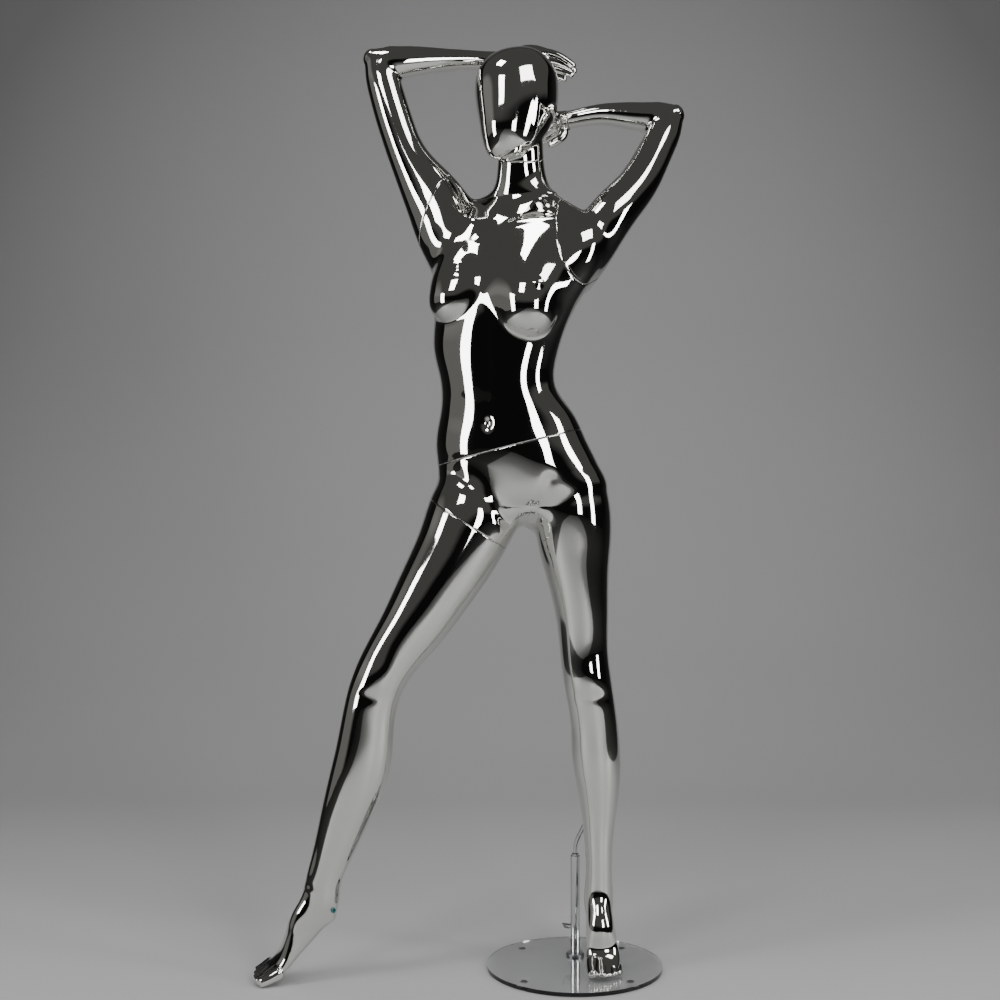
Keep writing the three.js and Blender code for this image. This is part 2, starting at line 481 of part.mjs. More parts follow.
add('base_glass', solid(base).subtract(solid(boltHole)), glass());
const bumperRing = baseDiameter / 2 - 30;
for (let i = 0; i < 4; i++) {
  const angle = Math.PI / 4 + (i * Math.PI) / 2;
  const pad = new THREE.CylinderGeometry(bumperDiameter / 2 - 0.5, bumperDiameter / 2, bumperHeight, 12)
    .rotateX(-Math.PI / 2)
    .translate(bumperRing * Math.cos(angle), bumperRing * Math.sin(angle), bumperHeight / 2);
  add(`bumper_pad_${i + 1}`, solid(pad), clear());
}
add('base_flange', solid(flange), steel());
add('flange_bolt', solid(bolt), zinc());
add('support_tube', solid(tube).subtract(solid(screwHole)), steel());
add('thumb_screw', solid(screwStem).add(solid(screwWings)), steel());
add('support_rod', solid(shank).add(solid(bentRod)), steel());
add('calf_socket', solid(calfSocket), zinc());
add('lower_body_shell', lowerBody, chrome());
add('right_leg_shell', rightLegShell, chrome());
add('heel_socket', solid(heelBush), teal());
add('torso_shell', torso, chrome());
add('head_shell', head, chrome());
add('right_arm_shell', rightArmShell, chrome());
add('left_arm_shell', leftArmShell, chrome());
add('right_hand', rightHandShell, chrome());
add('left_hand', leftHandShell, chrome());
const fittings = { waist, thigh, leftShoulder, rightShoulder, leftWrist, rightWrist };
for (const [name, fit] of Object.entries(fittings)) {
  const plain = name.replace(/[A-Z]/g, (c) => `_${c.toLowerCase()}`);
  add(`${plain}_plug`, fit.plug, zinc());
  add(`${plain}_socket`, fit.socket, zinc());
}

export default group;
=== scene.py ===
"""Full body display mannequin in dark mirror chrome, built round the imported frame. Sizes are in millimetres
until a mesh is made; the figure faces -Y, and +Z is up."""
import bpy
import bmesh
import math
import numpy as np
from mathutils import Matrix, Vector


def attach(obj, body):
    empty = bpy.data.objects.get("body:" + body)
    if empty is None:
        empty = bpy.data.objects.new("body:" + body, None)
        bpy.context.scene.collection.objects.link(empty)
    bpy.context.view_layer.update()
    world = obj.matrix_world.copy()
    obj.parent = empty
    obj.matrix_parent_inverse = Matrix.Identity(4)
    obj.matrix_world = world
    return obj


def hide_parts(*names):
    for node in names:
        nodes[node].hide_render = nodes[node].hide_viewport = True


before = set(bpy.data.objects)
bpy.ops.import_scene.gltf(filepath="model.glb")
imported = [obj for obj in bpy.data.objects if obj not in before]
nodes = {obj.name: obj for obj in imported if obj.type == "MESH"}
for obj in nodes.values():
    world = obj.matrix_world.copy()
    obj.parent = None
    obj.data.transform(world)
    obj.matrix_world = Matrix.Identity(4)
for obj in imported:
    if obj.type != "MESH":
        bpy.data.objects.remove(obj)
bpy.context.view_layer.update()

MM = 0.001
BODY_VOXEL, HEAD_VOXEL, HAND_VOXEL = 3.4, 2.4, 1.7    # spacing of each shell's points, mm
HALF_GAP = 0.3      # from a split to the face of the shell on either side
LIP = 0.7           # how far a shell's edge rolls in at a split
RIM = 4.4           # width of the flat rim inside the edge
BULKHEAD = 4.6      # how far behind the rim the shell is closed

# ---- the figure: x, y, z, half width, half depth in front, behind, turn in degrees ----
torso_rows = [
    (-101, 10, 924, 109.1, 67, 66, 8), (-100, 10, 942, 146.4, 86, 88, 8),
    (-103, 12, 968, 167.8, 95, 98, 8), (-113, 12, 1000, 162.2, 98, 102, 8),
    (-123, 12, 1036, 156.8, 98, 100, 9), (-131, 12, 1073, 148, 97, 94, 11),
    (-136, 10, 1113, 134.6, 94, 84, 13), (-151, 6, 1150, 117.5, 90, 76, 15),
    (-157, 4, 1180, 115.3, 88, 74, 17), (-159, 2, 1220, 125.6, 86, 78, 20),
    (-155, 2, 1260, 135.9, 88, 86, 23), (-145, 2, 1300, 145.3, 92, 94, 26),
    (-134, 4, 1341, 160.9, 96, 98, 28), (-122, 8, 1381, 176.9, 93, 97, 29),
    (-119, 12, 1422, 190.4, 84, 92, 30), (-121, 16, 1459, 189.9, 72, 82, 30),
    (-122, 20, 1488, 174.2, 58, 68, 30), (-123, 24, 1511, 148.7, 45, 54, 30),
    (-127, 26, 1529, 121.4, 36, 44, 30), (-119, 27, 1543, 93.9, 28, 34, 30)]
head_rows = [
    (-146, -40, 1609, 14.5, 10, 12, 28), (-141, -34, 1616, 29.7, 30, 24, 28),
    (-132, -26, 1629, 45.8, 50, 40, 28), (-124, -16, 1648, 57.6, 70, 57, 28),
    (-119, -6, 1672, 65.7, 84, 74, 28), (-116, 0, 1698, 72, 90, 90, 28), (-115, 4, 1725, 77.9, 93, 97, 28),
    (-115, 7, 1752, 80.1, 95, 100, 28), (-115, 9, 1777, 80.1, 93, 96, 28),
    (-114, 10, 1797, 76, 86, 87, 28), (-114, 11, 1814, 65.8, 72, 74, 28),
    (-113, 12, 1829, 52.8, 52, 57, 28), (-112, 12, 1839, 33.8, 31, 35, 28),
    (-112, 12, 1843, 13.5, 10, 13, 28)]
neck_rows = [
    (-107, 26, 1477, 80.7, 44), (-105, 26, 1513, 66.6, 46), (-103, 25, 1537, 57.5, 48),
    (-104, 23, 1561, 52.8, 49), (-106, 20, 1584, 49.9, 49), (-107, 16, 1608, 47.1, 49),
    (-107, 12, 1631, 45.4, 49), (-107, 8, 1658, 44.1, 48)]
left_leg_rows = [
    (-22, 12, 988, 62.3, 62), (-12, 12, 956, 75.3, 80), (-5, 12, 924, 77.9, 88), (-2, 12, 896, 77.5, 87),
    (1, 12, 846, 73.9, 81), (7, 10, 785, 63.1, 73), (14, 8, 725, 55.1, 65), (17.9, 6, 665.2, 49.9, 57),
    (20.7, 3, 615.6, 48, 51.9), (26.6, 1, 571.9, 48, 50.9), (34.4, 3, 527.4, 46.7, 49.8),
    (40.2, 8, 486.9, 47.1, 51.8), (43.1, 12, 438.4, 48.9, 54.7), (45.9, 13, 398, 47.2, 54.7),
    (48.8, 12, 353.6, 41.6, 49.7), (49.5, 9, 309.8, 35.2, 42.7), (48.2, 4, 265.3, 29.4, 36.7),
    (48.8, -3, 220, 26.1, 32.6), (48.5, -5, 176, 26.7, 31.5), (48, -5, 150, 27.5, 34),
    (48, 0, 128, 27.2, 35.5), (48, 5, 110, 25.5, 31), (48, 7, 99, 16.5, 21)]
left_foot_rows = [
    (48, 0, 148, 30, 24), (48, -19, 121, 31, 25.5), (49, -36, 98, 29, 27.5), (50, -43, 76, 25, 29.5),
    (51.5, -47, 57, 20, 32), (53, -56, 42, 16, 33.5), (53, -68, 32, 13, 33), (53, -78, 26, 11, 29)]
right_leg_rows = [
    (-165, 8, 996, 66.2, 62), (-189, 6, 938, 90.1, 83.9), (-208.9, 0, 894.1, 91, 87.9),
    (-227.8, -8, 850.2, 85.8, 84.8), (-256.4, -19, 796.7, 79.5, 79.6), (-285.9, -30, 746.5, 73.2, 73.4),
    (-320.1, -43, 689.7, 65, 64.3), (-356.2, -54, 638, 56.1, 54.3), (-382.4, -62, 593.2, 52, 49.2),
    (-397.9, -66, 551.3, 50.8, 46.2), (-405.7, -67, 514, 51.1, 45.2), (-410.6, -67, 474.7, 53.9, 46.2),
    (-416.6, -67, 432.2, 56.3, 47.2), (-426.6, -68, 390.7, 56.4, 45.3), (-438.6, -69, 355.9, 52.7, 41.4),
    (-453.8, -70, 311.7, 47.2, 36.5), (-468, -72, 269.3, 41.4, 31.6), (-480.3, -74, 234.7, 36.8, 27.7),
    (-491.7, -75, 202.1, 34.1, 25.8), (-497.3, -75, 172, 35.8, 26.8), (-496.6, -75, 151.3, 35.9, 27.3),
    (-494, -74, 135.6, 31.9, 24.9), (-489.3, -73, 122.1, 21.4, 15.9)]
right_foot_rows = [
    (-500, -72, 166, 28, 20), (-513, -76, 134, 35, 24), (-530, -76, 106, 33, 25),
    (-545, -77, 81, 25.5, 27), (-558, -78, 60, 19, 29.5), (-570, -79, 43, 15, 31.5),
    (-581, -81, 32.5, 13, 31.5), (-590, -82, 27, 11.4, 28)]
right_arm_rows = [
    (-210, 34, 1389, 48.6, 40), (-230, 42, 1431, 62.9, 52), (-250, 50, 1473, 67.1, 56),
    (-268, 57, 1521, 66.3, 52), (-293, 62, 1565, 58.4, 46), (-321, 66, 1609, 46.2, 42),
    (-344, 69, 1653, 38.5, 39.5), (-360, 71, 1698, 37.3, 38), (-375, 73, 1746, 36.7, 37),
    (-387, 75, 1790, 35.5, 35.5), (-396, 76, 1823, 32.8, 32), (-403, 76, 1839, 24.6, 23)]
right_forearm_rows = [
    (-415, 76, 1846, 15.4, 19), (-394, 77, 1835, 31.6, 31), (-365, 80, 1833, 34.5, 35),
    (-334, 84, 1837, 32.1, 33.5), (-293, 89, 1841, 27.2, 30), (-252, 95, 1844, 22.7, 27),
    (-211, 101, 1846, 20.1, 25), (-170, 107, 1846, 19.1, 25), (-145, 110, 1847, 19.1, 25)]
left_arm_rows = [
    (-2, -10, 1382, 39.9, 36), (18, -18, 1417, 48.7, 48), (41, -24, 1456, 49.6, 52),
    (67, -22, 1494, 47.6, 50), (94, -10, 1528, 44.6, 45), (122, 6, 1561, 40.9, 41),
    (143, 22, 1596, 38.7, 39), (160, 38, 1630, 36.5, 37.5), (177, 52, 1665, 35, 36),
    (192, 64, 1699, 33.1, 33), (202, 70, 1722, 25.6, 23)]
left_forearm_rows = [
    (214, 70, 1730, 15.4, 19), (195, 72, 1722, 29.1, 31), (165, 76, 1720, 31.6, 35),
    (133, 82, 1724, 29.4, 33.5), (98, 88, 1729, 25.8, 30), (64, 94, 1732, 21.9, 27),
    (33, 101, 1730, 20.1, 25), (5, 108, 1726, 18.7, 24.5), (-16, 112, 1723, 18.3, 24.5)]


# ---- smooth shapes: each gives a signed distance in mm, negative inside ----
def cubic(at, values, wanted):
    """Natural cubic spline through values at `at`, read at `wanted`."""
    n = len(at)
    gap = np.diff(at)
    slope = np.diff(values, axis=0) / gap[:, None]
    system = np.eye(n)
    right = np.zeros((n, values.shape[1]))
    for i in range(1, n - 1):
        system[i, i - 1:i + 2] = gap[i - 1], 2 * (gap[i - 1] + gap[i]), gap[i]
        right[i] = 6 * (slope[i] - slope[i - 1])
    bend = np.linalg.solve(system, right)
    i = np.clip(np.searchsorted(at, wanted) - 1, 0, n - 2)
    t = (wanted - at[i])[:, None]
    g = gap[i][:, None]
    return (values[i] + t * (slope[i] - g * (2 * bend[i] + bend[i + 1]) / 6)
            + t ** 2 * bend[i] / 2 + t ** 3 * (bend[i + 1] - bend[i]) / (6 * g))


def dense(rows, step, blur, level=False):
    """Rows resampled every `step` mm along the shape and evened out over about `blur` mm."""
    rows = np.array(rows, float)
    if level:
        rows = rows[np.argsort(rows[:, 2])]
        at = rows[:, 2] - rows[0, 2]
    else:
        at = np.concatenate([[0], np.cumsum(np.linalg.norm(np.diff(rows[:, :3], axis=0), axis=1))])
    count = max(int(at[-1] / step) + 1, 6)
    out = cubic(at, rows, np.linspace(0, at[-1], count))
    sigma = blur / (at[-1] / (count - 1))
    n = min(int(3.5 * sigma) + 1, count - 2)
    kernel = np.exp(-0.5 * (np.arange(-n, n + 1) / sigma) ** 2)
    padded = np.vstack([2 * out[0] - out[n:0:-1], out, 2 * out[-1] - out[-2:-n - 2:-1]])
    return np.stack([np.convolve(column, kernel / kernel.sum(), "valid") for column in padded.T], 1)


def unit(v):
    return v / np.linalg.norm(v, axis=-1, keepdims=True)


def nearest(points, centres):
    """Index of the nearest centre to each point."""
    size = (centres ** 2).sum(1)
    found = [np.argmin(size - 2 * block @ centres.T, axis=1)
             for block in np.array_split(points, max(1, len(points) // 20000))]
    return np.concatenate(found)


def oval(u, v, across, deep, over=0.0, cap=1.0):
    """Distance to an ellipse of those half sizes, with a rounded end `over` mm along."""
    r = np.sqrt((u / across) ** 2 + (v / deep) ** 2 + (over / cap) ** 2) + 1e-9
    g = np.sqrt((u / across ** 2) ** 2 + (v / deep ** 2) ** 2 + (over / cap ** 2) ** 2) + 1e-9
    return (r - 1) * r / g


class Limb:
    """Oval sections square to a curved centre line. Rows are x, y, z, half across, half along `face`."""

    def __init__(self, rows, face=(0, -1, 0), blur=14, step=4):
        table = dense(rows, step, blur)
        self.line = table[:, :3]
        along = unit(np.gradient(self.line, axis=0))
        ahead = unit(np.array(face, float) - along * (along @ np.array(face, float))[:, None])
        self.table = np.hstack([self.line, along, ahead, np.cross(along, ahead), table[:, 3:5]])
        self.gap = np.linalg.norm(np.diff(self.line, axis=0), axis=1).mean()
        reach = table[:, 3:5].max() + 60
        self.low, self.high = self.line.min(0) - reach, self.line.max(0) + reach

    def read(self, x):
        i = np.minimum(x.astype(int), len(self.table) - 2)
        t = (x - i)[:, None]
        return self.table[i] * (1 - t) + self.table[i + 1] * t

    def __call__(self, points):
        out = np.full(len(points), 400.0)
        near = np.all((points > self.low) & (points < self.high), axis=1)
        if not near.any():
            return out
        q = points[near]
        x = nearest(q, self.line).astype(float)
        for _ in range(3):
            row = self.read(x)
            x = np.clip(x + ((q - row[:, :3]) * row[:, 3:6]).sum(1) / self.gap, 0, len(self.table) - 1)
        row = self.read(x)
        away = q - row[:, :3]
        over = (away * row[:, 3:6]).sum(1)
        v, u = (away * row[:, 6:9]).sum(1), (away * row[:, 9:12]).sum(1)
        out[near] = oval(u, v, row[:, 12], row[:, 13], over, 0.8 * row[:, 12:14].min(1))
        return out

    def loft(self, around=20):
        """Rings of points for a first rough mesh."""
        last = len(self.table) - 1
        pick = self.table[np.unique(np.linspace(0, last, max(4, len(self.table) // 3)).astype(int))]
        t = np.linspace(0, 2 * np.pi, around, endpoint=False)
        return (pick[:, None, :3] + np.cos(t)[None, :, None] * (pick[:, 9:12] * pick[:, 12:13])[:, None]
                + np.sin(t)[None, :, None] * (pick[:, 6:9] * pick[:, 13:14])[:, None])


class Trunk:
    """Level oval sections that turn and shift with height."""

    def __init__(self, rows, blur=16, step=3):
        self.table = dense(rows, step, blur, level=True)

    def __call__(self, points):
        z = self.table[:, 2]
        x, y, across, front, back, turn = (np.interp(points[:, 2], z, self.table[:, c])
                                           for c in (0, 1, 3, 4, 5, 6))
        turn = np.radians(turn)
        dx, dy = points[:, 0] - x, points[:, 1] - y
        u = dx * np.cos(turn) - dy * np.sin(turn)
        v = -dx * np.sin(turn) - dy * np.cos(turn)
        middle, lean = (front + back) / 2, (front - back) / 2
        deep = middle + lean * np.tanh(1.6 * v / middle)
        over = points[:, 2] - np.clip(points[:, 2], z[0], z[-1])
        return oval(u, v, across, deep, over, 0.5 * middle)

    def loft(self, around=32):
        pick = self.table[np.linspace(0, len(self.table) - 1, 40).astype(int)]
        t = np.linspace(0, 2 * np.pi, around, endpoint=False)
        turn = np.radians(pick[:, 6])[:, None]
        u = pick[:, 3:4] * np.cos(t)
        v = np.where(np.sin(t) > 0, pick[:, 4:5], pick[:, 5:6]) * np.sin(t)
        return np.stack([pick[:, 0:1] + u * np.cos(turn) - v * np.sin(turn),
                         pick[:, 1:2] - u * np.sin(turn) - v * np.cos(turn),
                         np.repeat(pick[:, 2:3], around, 1)], -1)


class Egg(Trunk):
    """A head: level sections whose squared width runs smoothly through zero at chin and crown."""

    def __init__(self, rows, blur=9, step=2):
        rows = np.array(rows, float)
        self.wide = rows[:, 3].max()
        q = (rows[:, 3] / self.wide) ** 2
        share = np.stack([rows[:, 4] / rows[:, 3], rows[:, 5] / rows[:, 3]], 1) * self.wide
        plain = np.hstack([rows[:, :3], q[:, None], share, rows[:, 6:7]])
        self.table = dense(plain, step, blur, level=True)

    def __call__(self, points):
        z, q = self.table[:, 2], self.table[:, 3]
        x, y, front, back, turn = (np.interp(points[:, 2], z, self.table[:, c]) for c in (0, 1, 4, 5, 6))
        size = np.interp(points[:, 2], z, q)
        low, high = (q[1] - q[0]) / (z[1] - z[0]), (q[-1] - q[-2]) / (z[-1] - z[-2])
        size = size + np.where(points[:, 2] < z[0], low * (points[:, 2] - z[0]), 0)
        size = size + np.where(points[:, 2] > z[-1], high * (points[:, 2] - z[-1]), 0)
        turn = np.radians(turn)
        dx, dy = points[:, 0] - x, points[:, 1] - y
        u = dx * np.cos(turn) - dy * np.sin(turn)
        v = -dx * np.sin(turn) - dy * np.cos(turn)
        middle, lean = (front + back) / 2, (front - back) / 2
        deep = middle + lean * np.tanh(1.6 * v / middle)
        value = (u / self.wide) ** 2 + (v / deep) ** 2 - size
        slope = np.interp(points[:, 2], z, np.gradient(q, z))
        steep = np.sqrt((2 * u / self.wide ** 2) ** 2 + (2 * v / deep ** 2) ** 2 + slope ** 2) + 1e-6
        return value / steep

    def loft(self, around=32):
        keep = self.table[self.table[:, 3] > 0.01]
        size = np.sqrt(keep[:, 3])
        plain = keep.copy()
        plain[:, 3], plain[:, 4], plain[:, 5] = self.wide * size, keep[:, 4] * size, keep[:, 5] * size
        whole, self.table = self.table, plain
        rings = super().loft(around)
        self.table = whole
        return rings


class Ball:
    """An ellipsoid turned about Z, then leaned back, its upper half stretched to its own height."""

    def __init__(self, centre, radii, turn=0.0, lean=0.0, above=None):
        self.centre, self.radii = np.array(centre, float), np.array(radii, float)
        self.above = above or radii[2]
        c, s = math.cos(math.radians(turn)), math.sin(math.radians(turn))
        cl, sl = math.cos(math.radians(lean)), math.sin(math.radians(lean))
        side, ahead = np.array([c, -s, 0]), np.array([-s, -c, 0])
        up = np.array([0, 0, 1.0])
        self.axes = np.stack([side, ahead * cl + up * sl, up * cl - ahead * sl])

    def __call__(self, points):
        d = (points - self.centre) @ self.axes.T
        middle, lean = (self.above + self.radii[2]) / 2, (self.above - self.radii[2]) / 2
        tall = middle + lean * np.tanh(1.6 * d[:, 2] / middle)
        radii = np.stack([np.full_like(tall, self.radii[0]), np.full_like(tall, self.radii[1]), tall], 1)
        r = np.sqrt(((d / radii) ** 2).sum(1)) + 1e-9
        g = np.sqrt(((d / radii ** 2) ** 2).sum(1)) + 1e-9
        return (r - 1) * r / g

    def loft(self, around=20):
        lift = np.radians(np.linspace(-80, 80, 14))
        t = np.linspace(0, 2 * np.pi, around, endpoint=False)
        d = np.stack([np.cos(lift)[:, None] * np.cos(t), np.cos(lift)[:, None] * np.sin(t),
                      np.repeat(np.sin(lift)[:, None], around, 1)], -1) * self.radii
        return self.centre + d @ self.axes


def join(a, b, k):
    """Smooth union: the two surfaces flow into each other over about k mm."""
    h = np.maximum(k - np.abs(a - b), 0) / k
    return np.minimum(a, b) - h ** 3 * k / 6


def swell(points, first, last, spread):
    """A soft ridge of height 1 from first to last, fading over `spread` mm along each axis."""
    first, run = np.array(first, float), np.array(last, float) - np.array(first, float)
    out = np.zeros(len(points))
    reach = 3.5 * np.max(spread) + np.linalg.norm(run) / 2
    near = np.linalg.norm(points - first - run / 2, axis=1) < reach
    away = points[near] - first
    share = np.clip(away @ run / max(run @ run, 1e-9), 0, 1)[:, None] if run @ run > 0 else 0
    out[near] = np.exp(-0.5 * (((away - share * run) / np.array(spread, float)) ** 2).sum(1))
    return out


def digit(points, blur=3.0):
    """A finger or toe: x, y, z and radius at each joint."""
    return Limb([(x, y, z, r, r) for x, y, z, r in points], (0.17, -0.94, 0.3), blur, 1.5)


# ---- the figure's shapes ----
torso = Trunk(torso_rows)
neck = Limb([(-108, 48, 1428, 62, 22)] + neck_rows)
egg = Egg(head_rows)
left_arm, right_arm = Limb(left_arm_rows, blur=20), Limb(right_arm_rows, blur=20)
left_forearm, right_forearm = Limb(left_forearm_rows, blur=12), Limb(right_forearm_rows, blur=12)
left_leg, right_leg = Limb(left_leg_rows, blur=18), Limb(right_leg_rows, blur=18)
left_foot, right_foot = Limb(left_foot_rows, (1, 0, 0), 8), Limb(right_foot_rows, (0.2, -0.94, -0.28), 8)
breasts = [Ball((-234, -15, 1338), (57, 54, 50), 28, 13, 110),
           Ball((-95, -82, 1317), (60, 55, 58), 28, 13, 112)]
seat = [Ball((-163, 56, 958), (78, 62, 86)), Ball((-45, 54, 950), (78, 62, 86))]
left_toes = [digit(p, 2.5) for p in (
    [(31, -74, 36, 13.5), (30, -94, 26, 12), (31, -108, 20.7, 10.5)],
    [(49, -74, 35, 9.5), (50, -93, 25, 7.8), (50.5, -106, 17.5, 7)],
    [(60, -72, 34, 9), (62, -89, 24, 7.4), (62.5, -101, 17, 6.6)],
    [(71, -67, 33, 8.6), (73, -82, 23, 7), (74, -93, 16.6, 6.2)],
    [(80, -59, 31, 8.2), (83, -71, 21, 6.6), (84, -81, 16, 5.8)])]
right_toes = [digit(p, 2.5) for p in (
    [(-576, -104, 24, 13.5), (-594, -112, 15.5, 11.6), (-607, -118, 11.2, 10.4)],
    [(-586, -92, 27, 10), (-606, -102, 16, 8.4), (-618, -108, 9.6, 7.6)],
    [(-592, -81, 29, 9.5), (-611, -90, 17.5, 8), (-623, -96, 10.6, 7.2)],
    [(-596, -70, 31, 9), (-614, -78, 20, 7.6), (-625, -82, 13.6, 6.8)],
    [(-599, -59, 33, 8.6), (-614, -65, 24, 7.2), (-624, -68, 18.6, 6.4)])]
right_palm = Limb([(-190, 105, 1846, 19.5, 24.5), (-170, 107, 1846, 19, 23), (-150, 109, 1847, 19.4, 21),
                   (-128, 111, 1849, 24, 16), (-104, 113, 1850, 30, 14), (-80, 115, 1850, 33, 13),
                   (-60, 117, 1848, 30, 11)], blur=6)
right_fingers = [digit(p) for p in (
    [(-74, 115, 1868, 9.8), (-34, 116, 1862, 8.7), (-8, 117, 1848, 7.8), (3, 117, 1840, 7)],
    [(-76, 117, 1853, 9.8), (-32, 120, 1848, 8.9), (-6, 121, 1837, 8), (6, 121, 1829, 7)],
    [(-78, 118, 1838, 9.4), (-36, 122, 1833, 8.5), (-12, 123, 1826, 7.6), (-1, 122, 1821, 6.8)],
    [(-80, 117, 1825, 8.6), (-44, 121, 1820, 7.5), (-24, 121, 1815, 6.8), (-15, 120, 1812, 6.2)],
    [(-128, 112, 1834, 10.5), (-104, 116, 1812, 9.4), (-84, 118, 1799, 8.4), (-72, 118, 1792, 7.4)])]
left_palm = Limb([(38, 101, 1730, 20, 24.5), (18, 105, 1728, 19, 23), (-4, 110, 1725, 19, 21),
                  (-24, 115, 1722, 23, 16), (-48, 121, 1715, 29, 14), (-70, 124, 1707, 32, 13),
                  (-90, 124, 1700, 30, 11)], blur=6)
left_fingers = [digit(p) for p in (
    [(-82, 123, 1722, 9.6), (-114, 121, 1716, 8.5), (-138, 117, 1709, 7.6), (-150, 112, 1705, 6.8)],
    [(-86, 124, 1707, 9.6), (-120, 122, 1699, 8.7), (-145, 117, 1691, 7.8), (-158, 111, 1687, 6.8)],
    [(-88, 124, 1692, 9.2), (-118, 121, 1682, 8.3), (-141, 116, 1673, 7.4), (-152, 110, 1669, 6.6)],
    [(-86, 122, 1679, 8.4), (-110, 118, 1669, 7.3), (-128, 113, 1661, 6.6), (-137, 109, 1657, 6)],
    [(-22, 114, 1714, 11.5), (-18, 105, 1694, 10.2), (-32, 99, 1679, 9), (-48, 96, 1670, 7.6)])]


def ramp(x):
    """0 below 0, 1 above 1, smooth between."""
    x = np.clip(x, 0, 1)
    return x * x * x * (10 + x * (6 * x - 15))


def fold(field, group, k):
    """A shape joined to each of a group in turn."""
    for one in group:
        field = join(field, one, k)
    return field


def body_shape(p):
    """Everything but the head and hands, as one surface."""
    f = torso(p)
    for ball, low in zip(breasts, (1296, 1264)):
        f = join(f, ball(p), 12 + 52 * ramp((p[:, 2] - low) / 95))
    for ball in seat:
        f = join(f, ball(p), 42)
    f = join(f, neck(p), 52)
    f = join(f, join(left_arm(p), left_forearm(p), 16), 36)
    f = join(f, join(right_arm(p), right_forearm(p), 16), 36)
    left = join(left_leg(p), fold(left_foot(p), [t(p) for t in left_toes], 3), 20)
    right = join(right_leg(p), fold(right_foot(p), [t(p) for t in right_toes], 3), 20)
    f = join(join(f, left, 34), right, 34)
    for first, last, spread, height in marks:
        f = f - height * swell(p, first, last, spread)
    return f


def head_shape(p):
    """An egg whose face is a shield: behind its edge the cheek and jaw are set in."""
    z = p[:, 2]
    turn = math.radians(28)                # the way the face looks
    u = (p[:, 0] + 116) * math.cos(turn) - p[:, 1] * math.sin(turn)      # to the side of the face
    v = -(p[:, 0] + 116) * math.sin(turn) - p[:, 1] * math.cos(turn)     # ahead
    behind = 30 + 0.08 * (z - 1662) - v
    under = 1716 + 0.3 * (v - 33) - z
    step = ramp(behind / 7) * (1 - 0.75 * ramp((behind - 12) / 60)) * ramp(under / 9)
    lip = swell(np.stack([behind, under, 0 * z], 1), (-5, -30, 0), (-5, 120, 0), (5, 12, 1))
    f = egg(p) + (5.5 * step - 1.0 * lip) * ramp((np.abs(u) - 8) / 20)
    return join(f, neck(p), 9)


def right_hand_shape(p):
    return fold(join(right_palm(p), right_forearm(p), 6), [t(p) for t in right_fingers], 4.5)


def left_hand_shape(p):
    return fold(join(left_palm(p), left_forearm(p), 6), [t(p) for t in left_fingers], 4.5)


def surface_y(shape, x, z, start=-220.0, stop=60.0):
    """Where a line from the front first meets the shape."""
    y = np.linspace(start, stop, 561)
    values = shape(np.stack([np.full_like(y, x), y, np.full_like(y, z)], 1))
    return float(y[np.argmax(values < 0)])


marks = []


def mark(x, z, spread, height, to=None):
    """A soft swelling on the front of the body, or a ridge of it that runs on to another place."""
    first = (x, surface_y(body_shape, x, z), z)
    last = (to[0], surface_y(body_shape, *to), to[1]) if to else first
    marks.append((first, last, spread, height))


mark(-150, 1050, (60, 50, 50), 4)                         # belly
mark(-228, 1040, (24, 28, 34), 2.5)                       # hip bones
mark(-48, 1030, (24, 28, 34), 2.5)
mark(-92, 1185, (48, 40, 62), 11)                         # side of the belly
mark(-178, 1262, (10, 24, 16), -2.6, (-172, 1120))        # furrow down the middle
mark(-172, 1085, (5.5, 14, 8), -6)                        # navel
mark(-236, 985, (9, 16, 9), -4.5, (-136, 893))            # creases of the groin
mark(-52, 975, (9, 16, 9), -4.5, (-84, 903))
mark(-220, 1503, (12, 14, 7), 2.2, (-168, 1492))          # collar bones
mark(-44, 1486, (12, 14, 7), 2.2, (-116, 1484))
mark(-134, 1494, (11, 14, 10), -3)                        # hollow between them
mark(-190, 1457, (6, 10, 6), -1.6)                        # dimple above the right breast
mark(-231, 1390, (7, 12, 6), 4.2)                         # nipples
mark(-75, 1352, (6, 12, 6), 3.8)
mark(-128, 1270, (30, 30, 40), -2.5, (-160, 1330))        # hollow of the breast bone
mark(33, 582, (21, 20, 25), 3.4)                          # left kneecap
mark(34, 547, (24, 18, 9), -1.8)
mark(-387, 594, (22, 20, 26), 3.0)                        # right kneecap
mark(-396, 557, (22, 18, 9), -1.6)


# ---- meshes ----
def rough_mesh(lofts, voxel):
    """One closed mesh round overlapping lofts, as points in mm and four-cornered faces."""
    shell = bmesh.new()
    for rings in lofts:
        rows = [[shell.verts.new(point) for point in ring] for ring in rings]
        around = len(rows[0])
        for a, b in zip(rows, rows[1:]):
            for i in range(around):
                shell.faces.new((a[i], a[(i + 1) % around], b[(i + 1) % around], b[i]))
        shell.faces.new(rows[0])
        shell.faces.new(rows[-1])
    bmesh.ops.recalc_face_normals(shell, faces=shell.faces)
    mesh = bpy.data.meshes.new("rough")
    shell.to_mesh(mesh)
    shell.free()
    thing = bpy.data.objects.new("rough", mesh)
    bpy.context.scene.collection.objects.link(thing)
    remesh = thing.modifiers.new("remesh", "REMESH")
    remesh.mode, remesh.voxel_size, remesh.adaptivity = "VOXEL", voxel, 0.0
    whole = bpy.data.meshes.new_from_object(thing.evaluated_get(bpy.context.evaluated_depsgraph_get()))
    bpy.data.objects.remove(thing)
    points = np.empty(len(whole.vertices) * 3, np.float32)
    whole.vertices.foreach_get("co", points)
    corners = np.empty(len(whole.loops), np.int32)
    whole.loops.foreach_get("vertex_index", corners)
    assert len(corners) == 4 * len(whole.polygons), "the remesh gives four-cornered faces only"
    bpy.data.meshes.remove(whole)
    return points.reshape(-1, 3).astype(float), corners.reshape(-1, 4)


